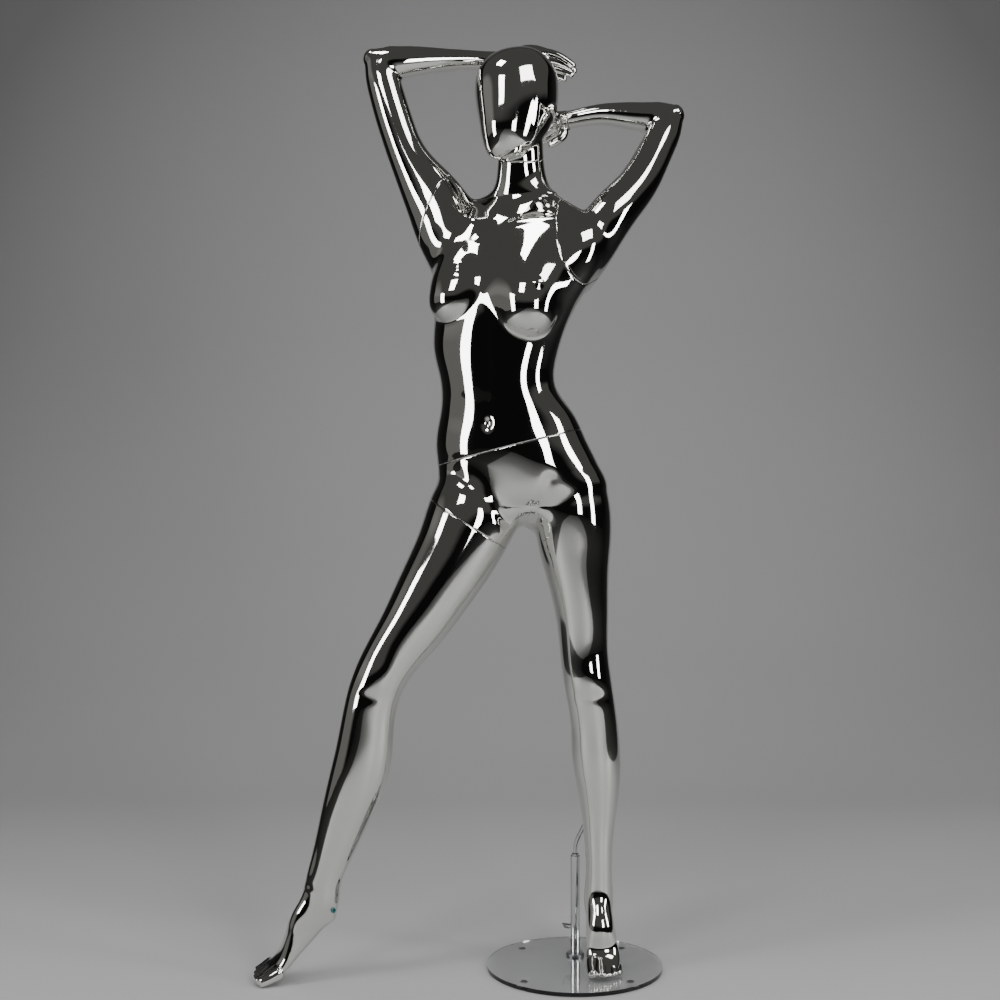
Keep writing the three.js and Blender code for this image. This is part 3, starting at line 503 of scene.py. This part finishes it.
def settle(shape, points, faces, rounds=5):
    """Moves the points onto the shape's surface, evening out their spacing as they go."""
    ends = np.vstack([faces[:, [i, (i + 1) % 4]] for i in range(4)])
    count = np.bincount(ends[:, 0], minlength=len(points)) + np.bincount(ends[:, 1], minlength=len(points))
    for turn in range(rounds):
        if turn:
            near = np.stack([np.bincount(ends[:, 0], points[ends[:, 1], c], len(points))
                             + np.bincount(ends[:, 1], points[ends[:, 0], c], len(points))
                             for c in range(3)], 1)
            shift = near / count[:, None] - points
            shift -= slope * ((shift * slope).sum(1) / (slope ** 2).sum(1))[:, None]
            points = points + 0.6 * shift
        for _ in range(3 if turn == 0 else (2 if turn == rounds - 1 else 1)):
            value = shape(points)
            slope = np.stack([shape(points + 0.4 * axis) - value for axis in np.eye(3)], 1) / 0.4
            size = np.maximum((slope ** 2).sum(1), 0.05)
            points = points - slope * np.clip(value / size, -5, 5)[:, None]
    return points


class Seam:
    """A flat split between two shells. The pieces' faces stand 0.3 mm off it on each side."""

    def __init__(self, centre, normal, reach, bore=0.0, length=0.0, only=None):
        self.centre, self.normal = np.array(centre, float), unit(np.array(normal, float))
        self.reach, self.bore, self.length, self.only = reach, bore, length, only

    def lift(self, points):
        return (points - self.centre) @ self.normal

    def holds(self, points):
        near = np.linalg.norm(points - self.centre, axis=1) < self.reach
        return near & self.only(points) if self.only else near


seams = {
    "waist": Seam((-133, 8, 1040), (-0.245, 0, 0.97), 230, 10, 46),
    "thigh": Seam((-213, 3, 889), (-0.543, 0, -0.84), 170, 9, 40, lambda p: p[:, 0] < -104),
    "left_shoulder": Seam((10, -26, 1456), (0.7635, -0.56, 0.3217), 150, 7, 20),
    "right_shoulder": Seam((-284, 56, 1502), (-0.85, 0.38, 0.36), 170, 7, 20),
    "left_wrist": Seam((-7, 110.5, 1724.5), (-0.975, 0.19, -0.12), 48, 4, 12),
    "right_wrist": Seam((-156, 108.6, 1846.5), (0.99, 0.12, 0.01), 48, 4, 12),
    "neck": Seam((-107, 14, 1622), (0, -0.35, 0.937), 110),
}


def places(verts):
    """The verts' places, one to a row."""
    return np.array([v.co[:] for v in verts])


def part_at(shell, seam):
    """Cuts the shell right through at the seam and clears the 0.6 mm between the two faces."""
    for lift in (-2.4, -1.0, -HALF_GAP, HALF_GAP, 1.0, 2.4):
        verts = list(shell.verts)
        keep = seam.holds(places(verts))
        faces = {f for v, k in zip(verts, keep) if k for f in v.link_faces}
        geom = faces | {e for f in faces for e in f.edges} | {v for f in faces for v in f.verts}
        bmesh.ops.bisect_plane(shell, geom=list(geom), dist=1e-3, plane_no=seam.normal,
                               plane_co=seam.centre + lift * seam.normal)
    verts = list(shell.verts)
    keep = seam.holds(places(verts))
    faces = list({f for v, k in zip(verts, keep) if k for f in v.link_faces})
    lifts = seam.lift(np.array([f.calc_center_median()[:] for f in faces]))
    gap = [f for f, a in zip(faces, lifts) if abs(a) < HALF_GAP - 0.01]
    bmesh.ops.delete(shell, geom=gap, context="FACES")


def islands(shell):
    """The shell's separate pieces, each a list of faces."""
    shell.faces.index_update()
    seen, out = set(), []
    for start in shell.faces:
        if start.index in seen:
            continue
        seen.add(start.index)
        stack, found = [start], []
        while stack:
            face = stack.pop()
            found.append(face)
            for edge in face.edges:
                for other in edge.link_faces:
                    if other.index not in seen:
                        seen.add(other.index)
                        stack.append(other)
        out.append(found)
    return out


def close_seam(shell, seam):
    """Rolls the open edge at a split into a rim, and closes it with a bulkhead with a well for the socket."""
    edges = []
    for e in shell.edges:
        if e.is_boundary:
            ends = places(e.verts)
            on_face = np.abs(np.abs(seam.lift(ends)) - HALF_GAP).max() < 0.03
            if on_face and np.linalg.norm(ends[0] - seam.centre) < seam.reach + 20:
                edges.append(e)
    if not edges:
        return
    far = seam.lift(places([edges[0].verts[0]]))[0] > 0
    inner = seam.normal if far else -seam.normal      # into this piece

    def inward(v):
        """From the skin towards the middle of the piece, along the split."""
        n = np.array(v.normal)
        return -unit(n - inner * (n @ inner))

    ring = list({v for e in edges for v in e.verts})
    ways = {v: inward(v) for v in ring}
    beside = {w for v in ring for e in v.link_edges for w in e.verts} - set(ring)
    for w in beside:
        w.co = np.array(w.co) + 0.2 * LIP * inward(w)
    rows = [{v: v for v in ring}]
    for lift in (0.0, BULKHEAD):
        rows.append({v: shell.verts.new(np.array(v.co) + RIM * ways[v] + lift * inner) for v in ring})
    for v in ring:
        v.co = np.array(v.co) + LIP * ways[v]
    for a, b in zip(rows, rows[1:]):
        for e in edges:
            p, q = e.verts
            face = shell.faces.new((a[p], a[q], b[q], b[p]))
            face.material_index = 1
    for e in edges:
        e.smooth = False
    last = rows[-1]
    rim = [shell.edges.get((last[e.verts[0]], last[e.verts[1]])) for e in edges]
    for row in rows[1:]:
        for e in edges:
            shell.edges.get((row[e.verts[0]], row[e.verts[1]])).smooth = False
    fill = list(rim)
    if far and seam.bore:
        side = unit(np.cross(seam.normal, (0.3, 0.9, 0.2)))
        other = np.cross(seam.normal, side)
        angle = np.linspace(0, 2 * np.pi, 40, endpoint=False)
        radius = seam.bore + 4.4      # clear of the socket's sleeve
        circle = [radius * (math.cos(t) * side + math.sin(t) * other) for t in angle]
        mouth = seam.centre + (HALF_GAP + BULKHEAD) * inner
        bottom = seam.centre + (seam.length + 5.6) * inner
        hole = [shell.verts.new(mouth + c) for c in circle]
        deep = [shell.verts.new(bottom + c) for c in circle]
        for i in range(40):
            j = (i + 1) % 40
            shell.faces.new((hole[i], hole[j], deep[j], deep[i])).material_index = 1
        shell.faces.new(deep).material_index = 1
        fill += [shell.edges.get((hole[i], hole[(i + 1) % 40])) for i in range(40)]
    made = bmesh.ops.triangle_fill(shell, use_beauty=True, use_dissolve=False, edges=fill)["geom"]
    for g in made:
        if isinstance(g, bmesh.types.BMFace):
            g.material_index = 1


def shell_of(points, faces):
    """A shell from points and the faces between them."""
    shell = bmesh.new()
    verts = [shell.verts.new(p) for p in points]
    for face in faces:
        shell.faces.new([verts[i] for i in face])
    return shell


def sub_shell(faces):
    """A new shell that holds copies of these faces."""
    shell = bmesh.new()
    copies = {}
    for face in faces:
        corners = []
        for v in face.verts:
            if v not in copies:
                copies[v] = shell.verts.new(v.co)
            corners.append(copies[v])
        shell.faces.new(corners)
    return shell


def finish_shell(shell, name, seam_names, materials):
    """Closes the shell's splits, checks that it is closed all over, and makes the object, in metres."""
    shell.normal_update()
    for seam in seam_names:
        close_seam(shell, seams[seam])
    bmesh.ops.recalc_face_normals(shell, faces=shell.faces)
    open_edges = sum(1 for e in shell.edges if not e.is_manifold)
    assert open_edges == 0, f"{name}: {open_edges} open edges"
    for face in shell.faces:
        face.smooth = True
    bmesh.ops.scale(shell, vec=(MM, MM, MM), verts=shell.verts)
    mesh = bpy.data.meshes.new(name)
    shell.to_mesh(mesh)
    shell.free()
    thing = bpy.data.objects.new(name, mesh)
    bpy.context.scene.collection.objects.link(thing)
    for material in materials:
        mesh.materials.append(material)
    return thing


# ---- materials ----
def colour(code):
    """sRGB hex to the linear colour that shaders take."""
    parts = [int(code[i:i + 2], 16) / 255 for i in (0, 2, 4)]
    return tuple(c / 12.92 if c <= 0.04045 else ((c + 0.055) / 1.055) ** 2.4 for c in parts) + (1.0,)


def node(tree, kind, settings=None, links=None, values=None):
    """Adds a shader node, with its settings, its linked inputs and its plain input values."""
    made = tree.nodes.new(kind)
    for key, value in (settings or {}).items():
        setattr(made, key, value)
    for key, value in (values or {}).items():
        made.inputs[key].default_value = value
    for key, source in (links or {}).items():
        tree.links.new(source, made.inputs[key])
    return made


def start(name):
    """A new material, its nodes, its shader and the object's own coordinates."""
    material = bpy.data.materials.new(name)
    material.use_nodes = True
    tree = material.node_tree
    shader = tree.nodes["Principled BSDF"]
    place = node(tree, "ShaderNodeTexCoord")
    return material, tree, shader, place.outputs["Object"]


def cloud(millimetres, detail):
    """The values of a noise whose patches are about this many millimetres across."""
    return {"Scale": 1000 / millimetres, "Detail": detail, "Roughness": 0.5}


def span(low, high, out_low, out_high):
    """The values that stretch one range to another."""
    return {"From Min": low, "From Max": high, "To Min": out_low, "To Max": out_high}


MIX = {"data_type": "RGBA"}


def dark_chrome():
    """Fibreglass with a dark mirror plating: it shows the room as a mirror does, with a faint ripple from the
    lacquer under it, and a thin haze that softens some reflections more than others."""
    material, tree, shader, place = start("dark mirror chrome")
    shader.inputs["Metallic"].default_value = 1.0
    drift = node(tree, "ShaderNodeTexNoise", links={"Vector": place}, values=cloud(220, 1))
    tone = node(tree, "ShaderNodeMix", MIX, {0: drift.outputs["Fac"]},
                {6: colour("dcdcd8"), 7: colour("e2e2de")})
    tree.links.new(tone.outputs[2], shader.inputs["Base Color"])
    patches = node(tree, "ShaderNodeTexNoise", links={"Vector": place}, values=cloud(60, 4))
    haze = node(tree, "ShaderNodeMapRange", links={"Value": patches.outputs["Fac"]},
                values=span(0.3, 0.8, 0.025, 0.055))
    tree.links.new(haze.outputs["Result"], shader.inputs["Roughness"])
    ripple = node(tree, "ShaderNodeTexNoise", links={"Vector": place}, values=cloud(28, 1))
    relief = node(tree, "ShaderNodeBump", links={"Height": ripple.outputs["Fac"]},
                  values={"Strength": 0.05, "Distance": 0.0006})
    tree.links.new(relief.outputs["Normal"], shader.inputs["Normal"])
    return material


def laminate():
    """The inside of a shell: grey gel coat over chopped glass strand, dull, cloudy and a little hairy."""
    material, tree, shader, place = start("grey fibreglass laminate")
    strands = node(tree, "ShaderNodeTexVoronoi", {"feature": "DISTANCE_TO_EDGE"}, {"Vector": place},
                   {"Scale": 260.0})      # strands 4 mm apart
    patches = node(tree, "ShaderNodeTexNoise", links={"Vector": place}, values=cloud(9, 3))
    tone = node(tree, "ShaderNodeMix", MIX, {0: patches.outputs["Fac"]},
                {6: colour("6d6e6c"), 7: colour("8a8a86")})
    tree.links.new(tone.outputs[2], shader.inputs["Base Color"])
    shader.inputs["Roughness"].default_value = 0.6
    relief = node(tree, "ShaderNodeBump", links={"Height": strands.outputs["Distance"]},
                  values={"Strength": 0.3, "Distance": 0.0004})
    tree.links.new(relief.outputs["Normal"], shader.inputs["Normal"])
    return material


def lined_steel(name, code, low, high, stretch):
    """Polished or turned steel: fine lines round or along the part draw each reflection out across them."""
    material, tree, shader, place = start(name)
    shader.inputs["Metallic"].default_value = 1.0
    shader.inputs["Base Color"].default_value = colour(code)
    lines = node(tree, "ShaderNodeMapping", links={"Vector": place}, values={"Scale": stretch})
    grain = node(tree, "ShaderNodeTexNoise", links={"Vector": lines.outputs["Vector"]}, values=cloud(1000, 3))
    gloss = node(tree, "ShaderNodeMapRange", links={"Value": grain.outputs["Fac"]},
                 values=span(0.3, 0.7, low, high))
    tree.links.new(gloss.outputs["Result"], shader.inputs["Roughness"])
    relief = node(tree, "ShaderNodeBump", links={"Height": grain.outputs["Fac"]},
                  values={"Strength": 0.12, "Distance": 0.00005})
    tree.links.new(relief.outputs["Normal"], shader.inputs["Normal"])
    return material


def zinc_plate():
    """Cast fittings with a zinc plate: a mottled grey spangle with a fine cast skin."""
    material, tree, shader, place = start("zinc plated casting")
    shader.inputs["Metallic"].default_value = 1.0
    spangle = node(tree, "ShaderNodeTexVoronoi", {}, {"Vector": place},
                   {"Scale": 320.0})      # flakes 3 mm wide
    tone = node(tree, "ShaderNodeMix", MIX, {0: spangle.outputs["Color"]},
                {6: colour("8f9499"), 7: colour("a9adb0")})
    tree.links.new(tone.outputs[2], shader.inputs["Base Color"])
    patches = node(tree, "ShaderNodeTexNoise", links={"Vector": place}, values=cloud(2.5, 3))
    gloss = node(tree, "ShaderNodeMapRange", links={"Value": patches.outputs["Fac"]},
                 values=span(0.3, 0.7, 0.32, 0.5))
    tree.links.new(gloss.outputs["Result"], shader.inputs["Roughness"])
    skin = node(tree, "ShaderNodeTexNoise", links={"Vector": place}, values=cloud(0.8, 2))
    relief = node(tree, "ShaderNodeBump", links={"Height": skin.outputs["Fac"]},
                  values={"Strength": 0.15, "Distance": 0.00008})
    tree.links.new(relief.outputs["Normal"], shader.inputs["Normal"])
    return material


def plate_glass():
    """Clear float glass: see-through and sharp, with a faint green tint in its depth."""
    material, tree, shader, place = start("clear float glass")
    shader.inputs["Base Color"].default_value = colour("ffffff")
    shader.inputs["Transmission Weight"].default_value = 1.0
    shader.inputs["IOR"].default_value = 1.52
    smears = node(tree, "ShaderNodeTexNoise", links={"Vector": place}, values=cloud(45, 3))
    gloss = node(tree, "ShaderNodeMapRange", links={"Value": smears.outputs["Fac"]},
                 values=span(0.45, 0.8, 0.0, 0.03))
    tree.links.new(gloss.outputs["Result"], shader.inputs["Roughness"])
    out = tree.nodes["Material Output"]
    depth = node(tree, "ShaderNodeVolumeAbsorption", {}, {}, {"Color": colour("7fe0cc"), "Density": 2.0})
    tree.links.new(depth.outputs[0], out.inputs["Volume"])
    return material


def soft_plastic(name, code, through=0.0):
    """Moulded nylon or silicone: a soft sheen over a fine grain; `through` lets light pass."""
    material, tree, shader, place = start(name)
    patches = node(tree, "ShaderNodeTexNoise", links={"Vector": place}, values=cloud(6, 2))
    darker = tuple(0.82 * c for c in colour(code)[:3]) + (1.0,)
    tone = node(tree, "ShaderNodeMix", MIX, {0: patches.outputs["Fac"]}, {6: colour(code), 7: darker})
    tree.links.new(tone.outputs[2], shader.inputs["Base Color"])
    shader.inputs["Transmission Weight"].default_value = through
    mottle = node(tree, "ShaderNodeTexNoise", links={"Vector": place}, values=cloud(1.2, 2))
    gloss = node(tree, "ShaderNodeMapRange", links={"Value": mottle.outputs["Fac"]},
                 values=span(0.3, 0.7, 0.35, 0.5))
    tree.links.new(gloss.outputs["Result"], shader.inputs["Roughness"])
    grain = node(tree, "ShaderNodeTexNoise", links={"Vector": place}, values=cloud(0.5, 2))
    relief = node(tree, "ShaderNodeBump", links={"Height": grain.outputs["Fac"]},
                  values={"Strength": 0.1, "Distance": 0.00005})
    tree.links.new(relief.outputs["Normal"], shader.inputs["Normal"])
    return material


chrome, inside = dark_chrome(), laminate()
steel = lined_steel("chromed steel tube", "c8c9ca", 0.06, 0.14, (300, 300, 12))
turned = lined_steel("turned steel", "a6a8ab", 0.25, 0.4, (60, 60, 1400))
zinc = zinc_plate()
glass = plate_glass()

# ---- the shells ----
fine = 1.0
body_lofts = [torso.loft(), neck.loft(), left_arm.loft(), right_arm.loft(), left_forearm.loft(),
              right_forearm.loft(), left_leg.loft(), right_leg.loft(), left_foot.loft(), right_foot.loft()]
body_lofts += [ball.loft() for ball in breasts + seat] + [toe.loft(12) for toe in left_toes + right_toes]
points, faces = rough_mesh(body_lofts, BODY_VOXEL * fine)
points = settle(body_shape, points, faces)
whole = shell_of(points, faces)
for seam in seams.values():
    part_at(whole, seam)
probes = {
    "hips": ((-110, -85, 980), ["waist", "thigh"]),
    "torso": ((-160, -60, 1180), ["waist", "left_shoulder", "right_shoulder", "neck"]),
    "right_leg": ((-410, -66, 507), ["thigh"]),
    "left_arm": ((122, -34, 1561), ["left_shoulder", "left_wrist"]),
    "right_arm": ((-344, 30, 1653), ["right_shoulder", "right_wrist"]),
}
parts = islands(whole)
centres = [places({v for f in part[::7] for v in f.verts}) for part in parts]
made = {}
for name, (probe, cuts) in probes.items():
    best = min(range(len(parts)), key=lambda i: ((centres[i] - np.array(probe)) ** 2).sum(1).min())
    made[name] = finish_shell(sub_shell(parts[best]), name, cuts, [chrome, inside])
whole.free()


def lone(name, shape, lofts, voxel, seam):
    """A shell from its own shape, cut at one seam; the part beyond the seam is kept."""
    at, corners = rough_mesh(lofts, voxel * fine)
    at = settle(shape, at, corners)
    shell = shell_of(at, corners)
    part_at(shell, seams[seam])
    pieces = islands(shell)
    far = [p for p in pieces if seams[seam].lift(np.array([f.calc_center_median()[:] for f in p])).mean() > 0]
    keep = sub_shell(max(far, key=len))
    shell.free()
    made[name] = finish_shell(keep, name, [seam], [chrome, inside])


lone("head", head_shape, [egg.loft(), neck.loft()], HEAD_VOXEL, "neck")
lone("right_hand", right_hand_shape,
     [right_palm.loft(), right_forearm.loft()] + [finger.loft(12) for finger in right_fingers],
     HAND_VOXEL, "right_wrist")
lone("left_hand", left_hand_shape,
     [left_palm.loft(), left_forearm.loft()] + [finger.loft(12) for finger in left_fingers],
     HAND_VOXEL, "left_wrist")

for name, body, stands_for in (
        ("hips", "hips", "lower_body_shell"), ("torso", "torso", "torso_shell"),
        ("head", "torso", "head_shell"),
        ("right_leg", "right_leg", "right_leg_shell"), ("left_arm", "left_arm", "left_arm_shell"),
        ("right_arm", "right_arm", "right_arm_shell"), ("right_hand", "right_hand_body", "right_hand"),
        ("left_hand", "left_hand_body", "left_hand")):
    made[name].name = "mannequin_" + name
    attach(made[name], body)
    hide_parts(stands_for)

# ---- finishes for the CAD solids that stay ----
finishes = {"base_glass": glass, "support_tube": steel, "base_flange": turned, "thumb_screw": turned,
            "support_rod": steel, "heel_socket": soft_plastic("teal nylon", "2f6f72")}
silicone = soft_plastic("clear silicone", "ffffff", 1.0)
finishes.update({f"bumper_pad_{i}": silicone for i in range(1, 5)})
for name in nodes:
    thing = bpy.data.objects.get(name)
    if thing and thing.type == "MESH" and not name.endswith("_shell"):
        for slot in thing.material_slots:
            slot.material = finishes.get(name, zinc)


# ---- studio and camera ----
def area(name, place, aim, wide, high, power, seen=True):
    """A soft rectangular light; one that isn't seen leaves no mirror image in the chrome."""
    data = bpy.data.lights.new(name, "AREA")
    data.shape, data.size, data.size_y, data.energy = "RECTANGLE", wide, high, power
    light = bpy.data.objects.new(name, data)
    bpy.context.scene.collection.objects.link(light)
    light.location = place
    light.visible_glossy = seen
    light.rotation_euler = (Vector(aim) - Vector(place)).to_track_quat("-Z", "Y").to_euler()


def studio():
    """A pale sheet, 4.8 m wide, that sweeps up from the floor into a wall; beyond it on either side the
    floor's colour is painted dark, as painted shade for the unlit room, and the wall carries painted shade
    that falls off from its middle.
    """
    half, bend = 12.0, 1.8      # half width, and radius of the sweep, in metres
    profile = [(-12.0, 0.0), (1.6, 0.0)]
    profile += [(1.6 + bend * math.sin(t), bend - bend * math.cos(t)) for t in np.linspace(0.08, 1.5, 18)]
    profile += [(3.4, 2.2), (3.4, 6.0)]
    shell = bmesh.new()
    left = [shell.verts.new((-half, y, z)) for y, z in profile]
    right = [shell.verts.new((half, y, z)) for y, z in profile]
    for i in range(len(profile) - 1):
        shell.faces.new((left[i], right[i], right[i + 1], left[i + 1])).smooth = True
    mesh = bpy.data.meshes.new("studio_floor")
    shell.to_mesh(mesh)
    shell.free()
    floor = bpy.data.objects.new("studio_floor", mesh)
    bpy.context.scene.collection.objects.link(floor)
    material, tree, shader, place = start("pale floor paint with painted shade")
    patches = node(tree, "ShaderNodeTexNoise", links={"Vector": place}, values=cloud(900, 3))
    tone = node(tree, "ShaderNodeMix", MIX, {0: patches.outputs["Fac"]},
                {6: colour("aeaeae"), 7: colour("b4b4b4")})
    # painted shade: the wall's colour darkens away from its middle, as a lamp's light falls off
    away = node(tree, "ShaderNodeVectorMath", {"operation": "LENGTH"},
                {0: node(tree, "ShaderNodeMapping", {"vector_type": "POINT"}, {"Vector": place},
                         {"Location": (0.08, 0.0, 0.0), "Scale": (0.6, 0.0, 0.45)}).outputs[0]})
    cube = node(tree, "ShaderNodeMath", {"operation": "POWER"}, {0: away.outputs["Value"]}, {1: 3.0})
    wall = node(tree, "ShaderNodeMapRange", links={"Value": cube.outputs[0]},
                values=span(0.0, 6.0, 0.80, 0.41))
    where = node(tree, "ShaderNodeSeparateXYZ", {}, {0: place})
    # the floor keeps its full colour; the wall takes the painted shade
    back = node(tree, "ShaderNodeMapRange", links={"Value": where.outputs["Y"]},
                values=span(-0.6, 2.6, 0.0, 1.0))
    painted_shade = node(tree, "ShaderNodeMix", {"data_type": "FLOAT"},
                 {0: back.outputs["Result"], 3: wall.outputs["Result"]}, {2: 1.0})
    # painted shade: beyond 2.4 m to either side the floor's colour drops to 0.15 of its tone, standing for
    # the unlit room round the sheet
    aside = node(tree, "ShaderNodeMath", {"operation": "ABSOLUTE"}, {0: where.outputs["X"]})
    sheet = node(tree, "ShaderNodeMapRange", links={"Value": aside.outputs[0]},
                 values=span(2.4, 2.55, 1.0, 0.15))
    both = node(tree, "ShaderNodeMath", {"operation": "MULTIPLY"},
                {0: painted_shade.outputs[0], 1: sheet.outputs["Result"]})
    # the pale tone darkened by the painted shade
    dim = node(tree, "ShaderNodeVectorMath", {"operation": "SCALE"},
               {0: tone.outputs[2], "Scale": both.outputs[0]})
    tree.links.new(dim.outputs[0], shader.inputs["Base Color"])
    shader.inputs["Roughness"].default_value = 0.7
    mesh.materials.append(material)


studio()
area("left softbox", (-2.9, -1.4, 1.5), (-0.15, 0, 1.0), 0.75, 1.7, 40)
area("left high softbox", (-1.6, -2.4, 3.0), (-0.15, 0, 1.2), 0.9, 0.8, 24)
area("overhead softbox", (-0.95, -0.55, 3.4), (-0.1, -0.1, 1.4), 0.6, 0.5, 12)
area("right front softbox", (1.25, -3.3, 1.5), (-0.1, 0, 1.0), 0.8, 1.3, 34)
area("right high softbox", (1.55, -1.75, 3.35), (-0.1, 0, 1.35), 1.5, 1.1, 40)
area("right softbox", (2.7, -1.3, 1.4), (-0.1, 0, 1.0), 0.6, 1.6, 34)
area("top light", (0, -2.0, 5.0), (0, -2.0, 0), 11.0, 9.0, 128, seen=False)
area("wall light", (-0.15, 0.9, 4.2), (-0.15, 2.0, 0), 2.4, 1.0, 18, seen=False)


def surround():
    """A dark room ahead of the figure, with a dim ceiling, and a grey wall on the figure's right."""
    world = bpy.data.worlds.new("studio surround")
    bpy.context.scene.world = world
    world.use_nodes = True
    tree = world.node_tree
    way = node(tree, "ShaderNodeSeparateXYZ", {}, {0: node(tree, "ShaderNodeTexCoord").outputs["Generated"]})
    ceiling = node(tree, "ShaderNodeMapRange", links={"Value": way.outputs["Z"]},
                   values=span(0.16, 0.26, 0.005, 0.066))
    wall = node(tree, "ShaderNodeMapRange", links={"Value": way.outputs["X"]},
                values=span(-0.84, -0.92, 0.0, 0.14))
    both = node(tree, "ShaderNodeMath", {"operation": "ADD"},
                {0: ceiling.outputs["Result"], 1: wall.outputs["Result"]})
    tree.links.new(both.outputs[0], tree.nodes["Background"].inputs["Strength"])
    tree.nodes["Background"].inputs["Color"].default_value = colour("fffefa")


surround()

lens = bpy.data.cameras.new("camera")
lens.lens, lens.sensor_width, lens.clip_end = 51.84, 36.0, 100.0
lens.dof.use_dof = False
camera = bpy.data.objects.new("camera", lens)
bpy.context.scene.collection.objects.link(camera)
camera.location, camera.rotation_euler = (-0.149, -2.88, 0.936), (math.pi / 2, 0, 0)
bpy.context.scene.camera = camera
